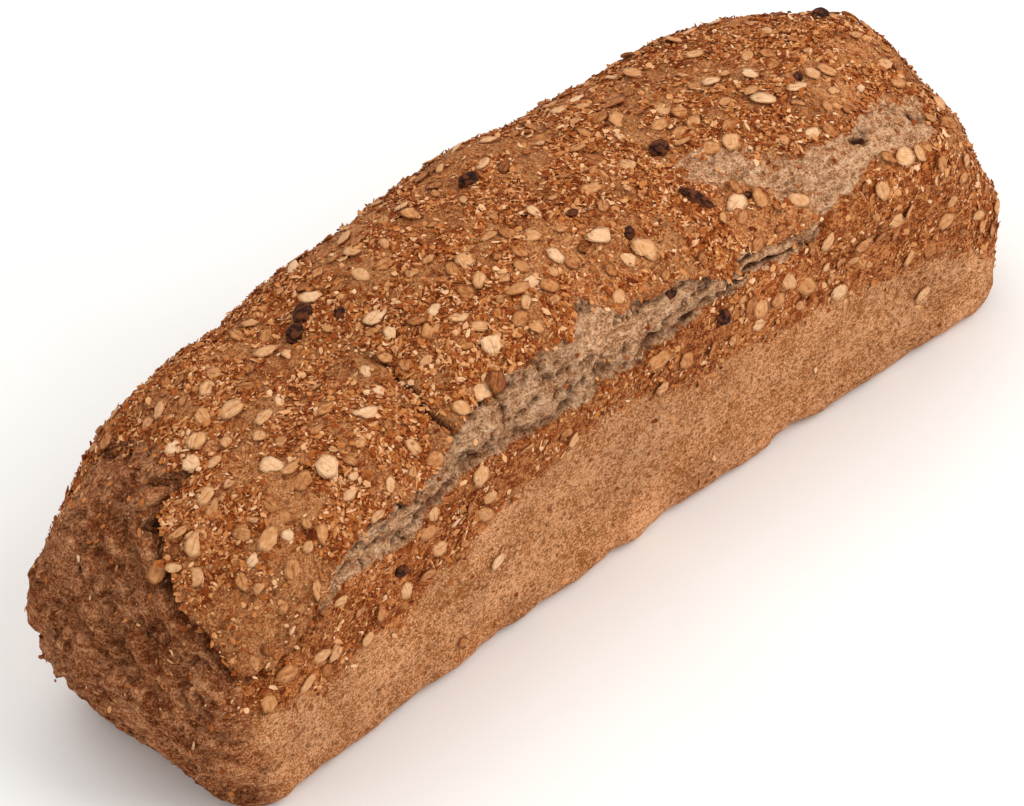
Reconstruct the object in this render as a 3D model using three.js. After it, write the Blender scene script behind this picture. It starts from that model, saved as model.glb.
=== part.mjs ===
// A long wholemeal tin loaf, baked as one piece: one closed solid.
// Units are millimetres. +X runs along the loaf, -Y is the side that split in the oven, +Z is up.
// The origin is the centre of the flat base, where the loaf stands.
import * as THREE from "three";

// Driving dimensions
const BASE_LENGTH = 308; // over the tin's flat ends, at the foot
const RIM_LENGTH = 298; // at the top of the straight wall
const BASE_WIDTH = 88;
const RIM_WIDTH = 100;
const RIM_HEIGHT = 74; // where the dough left the tin and began to dome, along the sides
const END_RIM_DROP = 12; // how much lower that is at the ends
const END_RIM_REACH = 50; // length over which it drops
const END_BULGE = { left: 12, right: 9 }; // how far each end swells out below the rim
const BULGE_HEIGHT = 38; // where it swells most
const BULGE_SPREAD = 24;
const FOOT_RADIUS = 7; // rounded edge round the base
const BASE_CORNER = 17; // plan corner radius at the foot
const RIM_CORNER = 26; // plan corner radius at the rim
const DOME_CORNER_GAIN = 0.6; // growth of that radius for each millimetre the dome narrows
const DOME_ROUNDNESS = 2.15; // superellipse exponent of the dome's cross-section
const END_ROLL = { left: 70, right: 46 }; // length over which each end of the dome rolls off
const BOW = 4; // the long sides curve back by this much at mid-length
const WAIST = 2; // the walls shrink in at mid-length, most near the foot
const LUMP = { wall: 0.5, dome: 1.3 }; // height of the slow swells in the crust
const LIP_SHARE = 0.3; // how far the crust stands out over the tear, as a share of its depth

// Height of the ridge of the dome at stations along the loaf
const RIDGE = [
  [-150, 93], [-110, 98], [-70, 104], [-30, 107], [10, 106],
  [50, 103], [90, 100], [130, 98], [150, 97],
];

// The tear under the top crust. It starts on the left end, drops round the front left corner and
// runs along the front. Each row: distance from that corner (left end negative, front positive),
// height of the torn line, depth of the tear, and width of the bared crumb above it.
const TEAR = [
  { at: -100, height: 74, depth: 0, band: 5 },
  { at: -75, height: 82, depth: 1.5, band: 5 },
  { at: -50, height: 85, depth: 4, band: 5 },
  { at: -28, height: 77, depth: 5, band: 5 },
  { at: -12, height: 64, depth: 5, band: 5 },
  { at: 5, height: 55, depth: 4.5, band: 5 },
  { at: 28, height: 59, depth: 3, band: 6 },
  { at: 42, height: 71, depth: 2.5, band: 9 },
  { at: 62, height: 72, depth: 3, band: 13 },
  { at: 84, height: 77, depth: 2.5, band: 9 },
  { at: 110, height: 81, depth: 3, band: 15 },
  { at: 155, height: 80, depth: 3, band: 17 },
  { at: 185, height: 78, depth: 3, band: 11 },
  { at: 215, height: 79, depth: 2.5, band: 6 },
  { at: 235, height: 82, depth: 0, band: 5 },
  { at: 262, height: 74, depth: 0, band: 5 },
];

// Slow swells in the crust: each wave's share of their height, its turn in radians for each
// millimetre along x, y and z, and its turn at the origin
const SWELLS = [
  { share: 0.25, turn: [0.059, 0.067, 0.045], start: 1.7 },
  { share: 0.25, turn: [0.059, -0.067, -0.045], start: 0.9 },
  { share: 0.18, turn: [0.056, 0.139, 0.077], start: 3.0 },
  { share: 0.18, turn: [0.118, 0.139, -0.077], start: 1.2 },
  { share: 0.14, turn: [0.159, -0.01, 0.14], start: 2.4 },
];

// Mesh spacing: columns round the plan outline, and rows up each column
const COLUMNS = { side: 48, end: 13, corner: 7 };
const ROWS = { foot: 4, wall: 8, band: 3, dome: 12 };
const TOP_OPENING = 0.96; // the last dome row, as a share of the way to the ridge
const LEVEL_STEP = 0.02; // step up and down a column that shows which way the surface runs

const { clamp, lerp, smoothstep } = THREE.MathUtils;

const ridgeCurve = new THREE.CubicInterpolant(RIDGE.map((r) => r[0]), RIDGE.map((r) => r[1]), 1);

/** Height of the dome's ridge over a place along the loaf. */
function ridgeHeight(x) {
  const last = RIDGE[RIDGE.length - 1];
  return ridgeCurve.evaluate(clamp(x, RIDGE[0][0], last[0]))[0];
}

/** One value of the tear at a distance from the front left corner, eased between its stations. */
function tearValue(at, key) {
  const next = TEAR.findIndex((station) => station.at > at);
  if (next === 0) return TEAR[0][key];
  if (next < 0) return TEAR[TEAR.length - 1][key];
  const [from, to] = [TEAR[next - 1], TEAR[next]];
  return lerp(from[key], to[key], smoothstep(at, from.at, to.at));
}

/** Height of the swells at a point, as a share of the largest they could reach together. */
function swell(point) {
  const heights = SWELLS.map(({ share, turn, start }) => {
    return share * Math.sin(point.dot(new THREE.Vector3(...turn)) + start);
  });
  return heights.reduce((sum, height) => sum + height, 0);
}

/**
 * Stations round a rounded rectangle, anticlockwise from the front left corner. A station says
 * which straight or corner it is on and how far along it, so that one list serves every outline.
 */
function outlineStations() {
  const stations = [];
  const counts = [COLUMNS.side, COLUMNS.corner, COLUMNS.end, COLUMNS.corner];
  for (let part = 0; part < 8; part++) {
    const count = counts[part % 4];
    for (let i = 0; i < count; i++) stations.push({ part, share: i / count });
  }
  return stations;
}

/** Plan point of a station on the outline with these half sizes and this corner radius. */
function outlinePoint({ part, share }, halfLength, halfWidth, radius) {
  const side = Math.floor(part / 2); // 0 front, 1 right, 2 back, 3 left
  const flatX = halfLength - radius;
  const flatY = halfWidth - radius;
  const starts = [[-flatX, -halfWidth], [halfLength, -flatY], [flatX, halfWidth], [-halfLength, flatY]];
  const ends = [[flatX, -halfWidth], [halfLength, flatY], [-flatX, halfWidth], [-halfLength, -flatY]];
  if (part % 2 === 0) {
    const [from, to] = [starts[side], ends[side]];
    return new THREE.Vector2(lerp(from[0], to[0], share), lerp(from[1], to[1], share));
  }
  const centres = [[flatX, -flatY], [flatX, flatY], [-flatX, flatY], [-flatX, -flatY]];
  const angle = (side - 1 + share) * (Math.PI / 2);
  const [cx, cy] = centres[side];
  return new THREE.Vector2(cx + radius * Math.cos(angle), cy + radius * Math.sin(angle));
}

/** Direction the outline runs in at a station. */
function outlineDirection({ part, share }) {
  const angle = (Math.floor(part / 2) + (part % 2) * share) * (Math.PI / 2);
  return new THREE.Vector3(Math.cos(angle), Math.sin(angle), 0);
}

/** Distance round the rim from the front left corner: negative on the left end, positive on the front. */
function cornerDistance(station) {
  const p = outlinePoint(station, RIM_LENGTH / 2, RIM_WIDTH / 2, RIM_CORNER);
  const onLeftEnd = station.part >= 6 || (station.part === 5 && station.share > 0.5);
  const onFront = station.part === 0 || (station.part === 1 && station.share < 0.5);
  const alongFront = p.x + RIM_LENGTH / 2;
  const alongEnd = p.y + RIM_WIDTH / 2;
  if (onFront) return alongFront;
  return onLeftEnd ? alongFront - alongEnd : RIM_LENGTH;
}

/** Height of the rim over a plan point: it drops towards the ends of the loaf. */
function rimHeight(x) {
  const end = RIM_LENGTH / 2;
  return RIM_HEIGHT - END_RIM_DROP * smoothstep(Math.abs(x), end - END_RIM_REACH, end);
}

/**
 * Point of the smooth loaf in one column. level runs 0 to 1 up the wall and 1 to 2 over the dome;
 * at 2 the column reaches the ridge.
 */
function loafPoint(station, level) {
  const onWall = level <= 1;
  const up = Math.min(level, 1);
  const angle = onWall ? 0 : (level - 1) * (Math.PI / 2);
  const shrink = Math.cos(angle) ** (2 / DOME_ROUNDNESS);
  const rise = Math.sin(angle) ** (2 / DOME_ROUNDNESS);
  const rim = rimHeight(outlinePoint(station, RIM_LENGTH / 2, RIM_WIDTH / 2, RIM_CORNER).x);
  const height = up * rim;
  const tuck = Math.max(FOOT_RADIUS - height, 0); // how far below the foot's rounding this point is
  const inset = FOOT_RADIUS - Math.sqrt(FOOT_RADIUS ** 2 - tuck ** 2);
  const halfLength = lerp(BASE_LENGTH, RIM_LENGTH, up) / 2 - inset;
  const halfWidth = (lerp(BASE_WIDTH, RIM_WIDTH, up) / 2 - inset) * shrink;
  const wallCorner = lerp(BASE_CORNER, RIM_CORNER, up) - inset;
  const domeCorner = wallCorner + DOME_CORNER_GAIN * (RIM_WIDTH / 2 - halfWidth);
  const corner = Math.min(onWall ? wallCorner : domeCorner, halfWidth);
  const plan = outlinePoint(station, halfLength, halfWidth, corner);
  const roll = plan.x < 0 ? END_ROLL.left : END_ROLL.right;
  const z = onWall ? height : rim + (ridgeHeight(plan.x) - rim) * rise;
  const nearEnd = smoothstep(Math.abs(plan.x), halfLength - 2 * RIM_CORNER, halfLength);
  const most = plan.x < 0 ? -END_BULGE.left : END_BULGE.right;
  const bulge = most * Math.exp(-(((z - BULGE_HEIGHT) / BULGE_SPREAD) ** 2));
  const rolled = plan.x * (1 - (roll / halfLength) * (1 - Math.cos(angle)));
  const x = rolled + nearEnd * bulge;
  const middle = 1 - (2 * x / BASE_LENGTH) ** 2; // 1 at mid-length, 0 at the ends
  const onSide = station.part % 4 === 0;
  const waist = onSide ? WAIST * middle * (1 - up) * Math.sign(plan.y) : 0;
  const y = plan.y + BOW * middle - waist;
  return new THREE.Vector3(x, y, z);
}

/** The level at which the column that crosses the rim at x reaches this height. */
function levelAtHeight(height, x) {
  const rim = rimHeight(x);
  if (height <= rim) return height / rim;
  const rise = (height - rim) / (ridgeHeight(x) - rim);
  return 1 + Math.asin(Math.min(rise, 1) ** (DOME_ROUNDNESS / 2)) / (Math.PI / 2);
}

/** Levels of the rows in one column: the foot, the wall up to the tear, the bared band, the dome. */
function columnLevels(station) {
  const at = cornerDistance(station);
  const rim = loafPoint(station, 1);
  const tear = levelAtHeight(tearValue(at, "height"), rim.x);
  const bandEnd = tear + tearValue(at, "band") / RIM_HEIGHT;
  const footTop = FOOT_RADIUS / RIM_HEIGHT;
  const levels = [];
  for (let i = 0; i < ROWS.foot; i++) {
    levels.push(footTop * (1 - Math.cos((i / ROWS.foot) * (Math.PI / 2))));
  }
  for (let i = 0; i < ROWS.wall; i++) levels.push(lerp(footTop, tear, i / ROWS.wall));
  for (let i = 0; i < ROWS.band; i++) levels.push(lerp(tear, bandEnd, i / ROWS.band));
  const domeEnd = 1 + TOP_OPENING;
  for (let i = 0; i <= ROWS.dome; i++) levels.push(lerp(bandEnd, domeEnd, i / ROWS.dome));
  return levels;
}

/** How far the crust stands in (negative) or out at a row: the tear's groove and the lip over it. */
function tearRelief(row, depth) {
  const tearRow = ROWS.foot + ROWS.wall;
  const bandRow = tearRow + ROWS.band;
  if (row > tearRow && row < bandRow) return -depth;
  if (row === bandRow) return LIP_SHARE * depth;
  return row === tearRow ? -LIP_SHARE * depth : 0;
}

/** The loaf's surface as rows of points, then moved out and in by its swells and its tear. */
function loafRows(stations) {
  const columns = stations.map((station) => {
    const depth = tearValue(cornerDistance(station), "depth");
    return columnLevels(station).map((level, row) => {
      const point = loafPoint(station, level);
      const above = loafPoint(station, level + LEVEL_STEP);
      const below = loafPoint(station, Math.max(level - LEVEL_STEP, 0));
      const outward = outlineDirection(station).cross(above.sub(below)).normalize();
      const size = level < 1 ? LUMP.wall : lerp(LUMP.wall, LUMP.dome, level - 1);
      const footFade = smoothstep(point.z, 0, 2 * FOOT_RADIUS);
      const relief = footFade * size * swell(point) + tearRelief(row, depth);
      return point.addScaledVector(outward, relief);
    });
  });
  return columns[0].map((_, row) => columns.map((column) => column[row]));
}

/**
 * Triangles that close a ring of points, zipped across from the front half to the back half.
 * facing says whether they look up (1) or down (-1).
 */
function capTriangles(columns, firstIndex, facing) {
  const halfEnd = (COLUMNS.end - 1) / 2;
  const leftMiddle = columns - COLUMNS.corner - halfEnd;
  const indices = [];
  for (let step = 0; step + 1 < columns / 2; step++) {
    const front = (leftMiddle + step) % columns;
    const frontNext = (front + 1) % columns;
    const back = (leftMiddle - 1 - step) % columns;
    const backNext = (back - 1 + columns) % columns;
    const halves = [[front, frontNext, backNext], [front, backNext, back]];
    for (const half of halves) indices.push(...(facing > 0 ? half : half.reverse()));
  }
  return indices.map((index) => firstIndex + index);
}

/** Sews the rows into one closed geometry, and sets its origin at the centre of the base. */
function loafGeometry() {
  const rows = loafRows(outlineStations());
  const columns = rows[0].length;
  const indices = [];
  for (let row = 0; row + 1 < rows.length; row++) {
    for (let i = 0; i < columns; i++) {
      const next = (i + 1) % columns;
      const [a, b] = [row * columns + i, row * columns + next];
      const [c, d] = [a + columns, b + columns];
      indices.push(a, b, d, a, d, c);
    }
  }
  indices.push(...capTriangles(columns, 0, -1));
  indices.push(...capTriangles(columns, (rows.length - 1) * columns, 1));
  const geometry = new THREE.BufferGeometry().setFromPoints(rows.flat());
  geometry.setIndex(indices);
  geometry.computeBoundingBox();
  const { min, max } = geometry.boundingBox;
  geometry.translate(-(min.x + max.x) / 2, -(min.y + max.y) / 2, -min.z);
  geometry.computeVertexNormals();
  return geometry;
}

const crust = new THREE.MeshStandardMaterial({ color: 0xa4673f, roughness: 0.85, metalness: 0 });
const loaf = new THREE.Mesh(loafGeometry(), crust);
loaf.name = "loaf";

const group = new THREE.Group();
group.add(loaf);

export default group;
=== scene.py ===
"""Looks of a long wholemeal tin loaf: torn crust, bared crumb, rolled oats, bran and raisins.

Shapes are worked out in millimetres, in the same frame as the solid model, and scaled to metres
when they become meshes. +X runs along the loaf, -Y is the side that split, +Z is up.
"""

import logging
from dataclasses import dataclass, field
from enum import Enum

import bpy
import numpy as np
from mathutils import Matrix, Vector


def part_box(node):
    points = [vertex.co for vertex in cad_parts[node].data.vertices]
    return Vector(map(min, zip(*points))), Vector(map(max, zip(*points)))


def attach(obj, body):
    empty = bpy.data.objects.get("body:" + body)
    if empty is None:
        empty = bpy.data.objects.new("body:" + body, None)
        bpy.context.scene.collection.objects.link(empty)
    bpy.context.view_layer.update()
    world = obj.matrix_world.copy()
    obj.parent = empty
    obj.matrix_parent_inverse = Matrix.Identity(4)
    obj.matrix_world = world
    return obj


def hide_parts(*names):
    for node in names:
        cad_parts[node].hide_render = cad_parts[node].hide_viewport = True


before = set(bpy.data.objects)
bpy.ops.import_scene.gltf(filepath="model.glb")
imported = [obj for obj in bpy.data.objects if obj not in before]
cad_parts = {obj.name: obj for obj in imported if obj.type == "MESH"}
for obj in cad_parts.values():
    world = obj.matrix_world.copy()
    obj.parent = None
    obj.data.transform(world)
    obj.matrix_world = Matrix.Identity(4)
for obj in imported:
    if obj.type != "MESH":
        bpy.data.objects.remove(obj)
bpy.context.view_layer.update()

LOG = logging.getLogger("tin_loaf")
MM = 0.001
ROOT = "root"


# ---------------------------------------------------------------- numbers and noise


def ease(value: np.ndarray, low: float, high: float) -> np.ndarray:
    """Rises smoothly from 0 at low to 1 at high.

    Args:
        value: Numbers to read.
        low: Where the rise starts.
        high: Where it ends; it may be below low, and then the rise runs the other way.

    Returns:
        The share of the rise at each number: 3t^2 - 2t^3.
    """
    t = np.clip((value - low) / (high - low), 0.0, 1.0)
    return t * t * (3.0 - 2.0 * t)


def hump(value: np.ndarray, centre: float, width: float) -> np.ndarray:
    """Bell curve of height 1: e to the minus the squared distance from centre, in widths."""
    return np.exp(-(((value - centre) / width) ** 2))


def eased_stations(at: np.ndarray, places: np.ndarray, values: np.ndarray) -> np.ndarray:
    """Eases from the value of each station to the value of the next.

    Args:
        at: Places to read.
        places: Rising places of the stations.
        values: Their values.

    Returns:
        The values at the places read, constant beyond the first and last station.
    """
    nxt = np.clip(np.searchsorted(places, at, side="right"), 1, len(places) - 1)
    share = ease((at - places[nxt - 1]) / (places[nxt] - places[nxt - 1]), 0.0, 1.0)
    return values[nxt - 1] + (values[nxt] - values[nxt - 1]) * share


def curved_stations(at: np.ndarray, places: np.ndarray, values: np.ndarray) -> np.ndarray:
    """Cubic through the stations, with each slope taken from the neighbours (Hermite form).

    Args:
        at: Places to read.
        places: Rising places of the stations.
        values: Their values.

    Returns:
        The values at the places read.
    """
    at = np.clip(at, places[0], places[-1])
    slope = np.gradient(values, places)
    nxt = np.clip(np.searchsorted(places, at, side="right"), 1, len(places) - 1)
    low = nxt - 1
    span = places[nxt] - places[low]
    t = (at - places[low]) / span
    rise = ease(t, 0.0, 1.0)
    leave = t * (1 - t) ** 2 * span * slope[low]
    arrive = t * t * (t - 1) * span * slope[nxt]
    return values[low] * (1 - rise) + values[nxt] * rise + leave + arrive


class Noise:
    """Seeded noise over points in space, in millimetres."""

    def __init__(self, seed: int) -> None:
        """Keeps the seed, so that every run gives the same loaf."""
        self.seed = seed

    def _random(self, cell: np.ndarray, turn: int = 0) -> np.ndarray:
        """One number from 0 to 1 for each whole-number cell, by mixing its coordinates' bits."""
        c = cell.astype(np.int64).astype(np.uint32)
        h = c[..., 0] * np.uint32(374761393) + c[..., 1] * np.uint32(668265263)
        h = h + c[..., 2] * np.uint32(2246822519) + np.uint32(self.seed * 7919 + turn * 104729)
        h = (h ^ (h >> np.uint32(15))) * np.uint32(2246822519)
        h = (h ^ (h >> np.uint32(13))) * np.uint32(3266489917)
        return (h ^ (h >> np.uint32(16))) / np.float64(4294967295)

    def value(self, points: np.ndarray, size: float | tuple[float, float, float]) -> np.ndarray:
        """Smooth noise from -1 to 1: random values on a lattice, blended by eased distances.

        Args:
            points: Places to read, with x, y and z last.
            size: Lattice spacing, or one spacing for each direction.

        Returns:
            One value for each point.
        """
        q = points / np.asarray(size, dtype=float)
        cell = np.floor(q)
        t = q - cell
        t = t * t * t * (t * (t * 6 - 15) + 10)
        total = np.zeros(points.shape[:-1])
        for corner in np.ndindex(2, 2, 2):
            step = np.array(corner)
            weight = np.prod(np.where(step == 1, t, 1 - t), axis=-1)
            total += weight * self._random(cell + step)
        return total * 2 - 1

    def layered(
        self, points: np.ndarray, size: float | tuple[float, float, float], layers: int = 4
    ) -> np.ndarray:
        """Sum of layers of smooth noise, each half the size and 0.55 of the height of the last.

        Args:
            points: Places to read.
            size: Lattice spacing of the first layer, or one spacing for each direction.
            layers: How many layers are added.

        Returns:
            One value for each point, about -1 to 1.
        """
        total = np.zeros(points.shape[:-1])
        height = 1.0
        for layer in range(layers):
            offset = np.array([17.3, -9.1, 31.7]) * layer
            total += height * self.value(points + offset, np.asarray(size, dtype=float) / 2**layer)
            height *= 0.55
        return total / 1.6

    def cells(
        self, points: np.ndarray, size: float | tuple[float, float, float]
    ) -> tuple[np.ndarray, np.ndarray]:
        """Random cells: one seed point in each lattice box.

        Args:
            points: Places to read.
            size: Box size, or one size for each direction.

        Returns:
            Distance to the nearest seed point, in boxes, and that cell's own random number.
        """
        q = points / np.asarray(size, dtype=float)
        base = np.floor(q)
        near = np.full(points.shape[:-1], 9.0)
        name = np.zeros(points.shape[:-1])
        for offset in np.ndindex(3, 3, 3):
            cell = base + np.array(offset) - 1
            seed = np.stack([self._random(cell, turn) for turn in (1, 2, 3)], axis=-1)
            gap = np.linalg.norm(cell + seed - q, axis=-1)
            closer = gap < near
            name = np.where(closer, self._random(cell, 4), name)
            near = np.where(closer, gap, near)
        return near, name


def normalised(vectors: np.ndarray) -> np.ndarray:
    """The same directions with length 1."""
    return vectors / np.maximum(np.linalg.norm(vectors, axis=-1, keepdims=True), 1e-9)


def softened(values: np.ndarray, reach: int) -> np.ndarray:
    """Mean of each value and its neighbours within reach, round the rings and up the rows."""
    steps = range(-reach, reach + 1)
    around = sum(np.roll(values, k, axis=1) for k in steps) / len(steps)
    rows = np.arange(len(values))
    return sum(around[np.clip(rows + k, 0, len(values) - 1)] for k in steps) / len(steps)


# ---------------------------------------------------------------- meshes


def make_piece(
    name: str,
    points: np.ndarray,
    faces: list[np.ndarray],
    attributes: dict[str, np.ndarray],
    material: bpy.types.Material,
    smooth: bool = True,
) -> bpy.types.Object:
    """Makes one piece of the loaf, riding on the root body.

    Args:
        name: Piece name.
        points: Vertices in millimetres, one row each.
        faces: Arrays of vertex numbers, each array with faces of one size.
        attributes: One number per vertex under each name, for the materials to read.
        material: Finish of the piece.
        smooth: Whether faces are shaded as one smooth surface.

    Returns:
        The object, at the origin.
    """
    mesh = bpy.data.meshes.new(name)
    flat = points.reshape(-1, 3) * MM
    mesh.vertices.add(len(flat))
    mesh.vertices.foreach_set("co", flat.astype(np.float32).ravel())
    loops = np.concatenate([f.ravel() for f in faces])
    sizes = np.concatenate([np.full(len(f), f.shape[1]) for f in faces])
    starts = np.concatenate([[0], np.cumsum(sizes)[:-1]])
    mesh.loops.add(len(loops))
    mesh.loops.foreach_set("vertex_index", loops.astype(np.int32))
    mesh.polygons.add(len(sizes))
    mesh.polygons.foreach_set("loop_start", starts.astype(np.int32))
    mesh.polygons.foreach_set("use_smooth", np.full(len(sizes), smooth))
    mesh.update(calc_edges=True)
    mesh.validate()
    for key, values in attributes.items():
        layer = mesh.attributes.new(key, "FLOAT", "POINT")
        layer.data.foreach_set("value", values.ravel().astype(np.float32))
    mesh.materials.append(material)
    piece = bpy.data.objects.new(name, mesh)
    bpy.context.scene.collection.objects.link(piece)
    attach(piece, ROOT)
    LOG.info("%s: %d vertices, %d faces", name, len(flat), len(sizes))
    return piece


def repeat_faces(faces: list[np.ndarray], vertices: int, copies: int) -> list[np.ndarray]:
    """Face lists of a shape repeated, when each copy's vertices follow the last copy's."""
    shift = (np.arange(copies) * vertices)[:, None, None]
    return [(f[None] + shift).reshape(-1, f.shape[1]) for f in faces]


# ---------------------------------------------------------------- node helpers and finishes


def colour(code: str) -> tuple[float, float, float, float]:
    """Linear colour from a six-figure hex code."""
    parts = [int(code[i : i + 2], 16) / 255 for i in (0, 2, 4)]
    linear = [c / 12.92 if c <= 0.04045 else ((c + 0.055) / 1.055) ** 2.4 for c in parts]
    return (*linear, 1.0)


Socket = bpy.types.NodeSocket


class Sheet:
    """A node tree with short methods for the nodes that the finishes share."""

    def __init__(self, tree: bpy.types.NodeTree) -> None:
        """Keeps the tree that nodes are added to."""
        self.tree = tree

    def add(self, kind: str, settings: dict | None = None, **inputs: object) -> bpy.types.Node:
        """Adds a node and fills its inputs.

        Args:
            kind: Node type without its ShaderNode prefix.
            settings: Properties of the node.
            **inputs: Values or sockets by input name, with _ for a space.

        Returns:
            The node.
        """
        node = self.tree.nodes.new("ShaderNode" + kind)
        for key, value in (settings or {}).items():
            setattr(node, key, value)
        for key, value in inputs.items():
            self.feed(node.inputs[key.replace("_", " ")], value)
        return node

    def feed(self, socket: Socket, value: object) -> None:
        """Links a socket into an input, or sets the input to a plain value."""
        if isinstance(value, Socket):
            self.tree.links.new(value, socket)
        else:
            socket.default_value = value

    def attribute(self, name: str) -> Socket:
        """Value of a vertex attribute."""
        return self.add("Attribute", {"attribute_name": name}).outputs["Fac"]

    def noise(self, vector: Socket, size_mm: float, detail: float = 3.0) -> Socket:
        """Noise with features of about this size."""
        node = self.add("TexNoise", None, Vector=vector, Scale=1 / (size_mm * MM), Detail=detail)
        return node.outputs["Fac"]

    def span(self, value: Socket, low: float, high: float, to: tuple = (0.0, 1.0)) -> Socket:
        """Stretches values from low..high onto the to range, and holds them inside it."""
        node = self.add("MapRange", {"clamp": True}, Value=value)
        for name, number in zip(("From Min", "From Max", "To Min", "To Max"), (low, high, *to)):
            node.inputs[name].default_value = number
        return node.outputs["Result"]

    def math(self, operation: str, a: object, b: object = 0.0, c: object = 0.0) -> Socket:
        """One arithmetic step on up to three values."""
        node = self.add("Math", {"operation": operation})
        for socket, value in zip(node.inputs, (a, b, c)):
            self.feed(socket, value)
        return node.outputs[0]

    def mix(self, share: object, a: object, b: object, blend: str = "MIX") -> Socket:
        """Mixes two colours by a share."""
        node = self.add("Mix", {"data_type": "RGBA", "blend_type": blend})
        for index, value in ((0, share), (6, a), (7, b)):
            self.feed(node.inputs[index], value)
        return node.outputs[2]

    def ramp(self, value: Socket, stops: list[tuple[float, str]]) -> Socket:
        """Colour ramp through the stops, each a place and a hex colour."""
        node = self.add("ValToRGB", None, Fac=value)
        elements = node.color_ramp.elements
        while len(elements) < len(stops):
            elements.new(0.5)
        for element, (place, code) in zip(elements, stops):
            element.position = place
            element.color = colour(code)
        return node.outputs["Color"]

    def even_ramp(self, value: Socket, codes: tuple[str, ...]) -> Socket:
        """Colour ramp through evenly spaced hex colours."""
        return self.ramp(value, [(i / (len(codes) - 1), code) for i, code in enumerate(codes)])

    def dress(self, shader: bpy.types.Node, skin: Socket, rough: Socket, shine: float) -> None:
        """Feeds a shader its colour and roughness, and sets how much it shines."""
        self.feed(shader.inputs["Base Color"], skin)
        self.feed(shader.inputs["Roughness"], rough)
        shader.inputs["Specular IOR Level"].default_value = shine

    def emboss(
        self, shader: bpy.types.Node, height: Socket, strength: float, depth: float
    ) -> None:
        """Feeds a shader the normals of a height, with its strength and its depth in metres."""
        bump = self.add("Bump", None, Height=height, Strength=strength, Distance=depth)
        self.feed(shader.inputs["Normal"], bump.outputs["Normal"])


def new_material(name: str) -> tuple[bpy.types.Material, Sheet, bpy.types.Node, Socket]:
    """A material with its sheet, its Principled shader and its Object coordinates."""
    material = bpy.data.materials.new(name)
    material.use_nodes = True
    sheet = Sheet(material.node_tree)
    shader = material.node_tree.nodes["Principled BSDF"]
    place = sheet.add("TexCoord").outputs["Object"]
    return material, sheet, shader, place


def group_of(name: str, inputs: list[tuple[str, str]], outputs: list[str]) -> tuple:
    """Starts a node group with named sockets.

    Args:
        name: Group name.
        inputs: Name and kind (Float, Vector or Color) of each input.
        outputs: Names of its value outputs.

    Returns:
        The group, its sheet, its input node and its output node.
    """
    tree = bpy.data.node_groups.new(name, "ShaderNodeTree")
    for label, kind in inputs:
        tree.interface.new_socket(label, in_out="INPUT", socket_type="NodeSocket" + kind)
    for label in outputs:
        tree.interface.new_socket(label, in_out="OUTPUT", socket_type="NodeSocketFloat")
    start = tree.nodes.new("NodeGroupInput")
    end = tree.nodes.new("NodeGroupOutput")
    return tree, Sheet(tree), start, end


def meal_grain_group() -> bpy.types.NodeTree:
    """Shared effect: the speckle of coarse meal, the pores of baked dough and dark husk specks.

    Returns:
        A group that turns a place and a fineness into three values from 0 to 1.
    """
    tree, sheet, start, end = group_of(
        "MealGrain", [("Place", "Vector"), ("Fineness", "Float")], ["Speckle", "Pores", "Specks"]
    )
    place, fineness = start.outputs["Place"], start.outputs["Fineness"]
    coarse = sheet.add("TexNoise", None, Vector=place, Scale=fineness, Detail=4.0, Roughness=0.7)
    finer = sheet.math("MULTIPLY", fineness, 1.9)
    spots = sheet.add("TexVoronoi", None, Vector=place, Scale=finer)
    tones = sheet.add("SeparateColor", None, Color=spots.outputs["Color"]).outputs[0]
    soft = sheet.math("MULTIPLY", coarse.outputs["Fac"], 0.7)
    sheet.feed(end.inputs["Speckle"], sheet.math("MULTIPLY_ADD", tones, 0.3, soft))
    shift = {"operation": "MULTIPLY_ADD"}
    warped = sheet.add("VectorMath", shift)
    sheet.feed(warped.inputs[0], coarse.outputs["Color"])
    sheet.feed(warped.inputs[1], (0.0012, 0.0012, 0.0012))
    sheet.feed(warped.inputs[2], place)
    for name, share, edge, chosen in (("Pores", 0.3, 0.3, 0.0), ("Specks", 0.24, 0.26, 0.5)):
        scale = sheet.math("MULTIPLY", fineness, share)
        dots = sheet.add("TexVoronoi", None, Vector=warped.outputs[0], Scale=scale)
        pick = sheet.add("SeparateColor", None, Color=dots.outputs["Color"]).outputs[1]
        dot = sheet.span(dots.outputs["Distance"], edge / 2, edge, (1.0, 0.0))
        shown = sheet.span(pick, chosen, chosen + 0.1)
        sheet.feed(end.inputs[name], sheet.math("MULTIPLY", dot, shown))
    return tree


def use_group(sheet: Sheet, tree: bpy.types.NodeTree, **inputs: object) -> bpy.types.Node:
    """Places a node group and fills its inputs, with _ for a space in their names."""
    node = sheet.tree.nodes.new("ShaderNodeGroup")
    node.node_tree = tree
    for key, value in inputs.items():
        sheet.feed(node.inputs[key.replace("_", " ")], value)
    return node


Tones = tuple[str, str, str]


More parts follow.
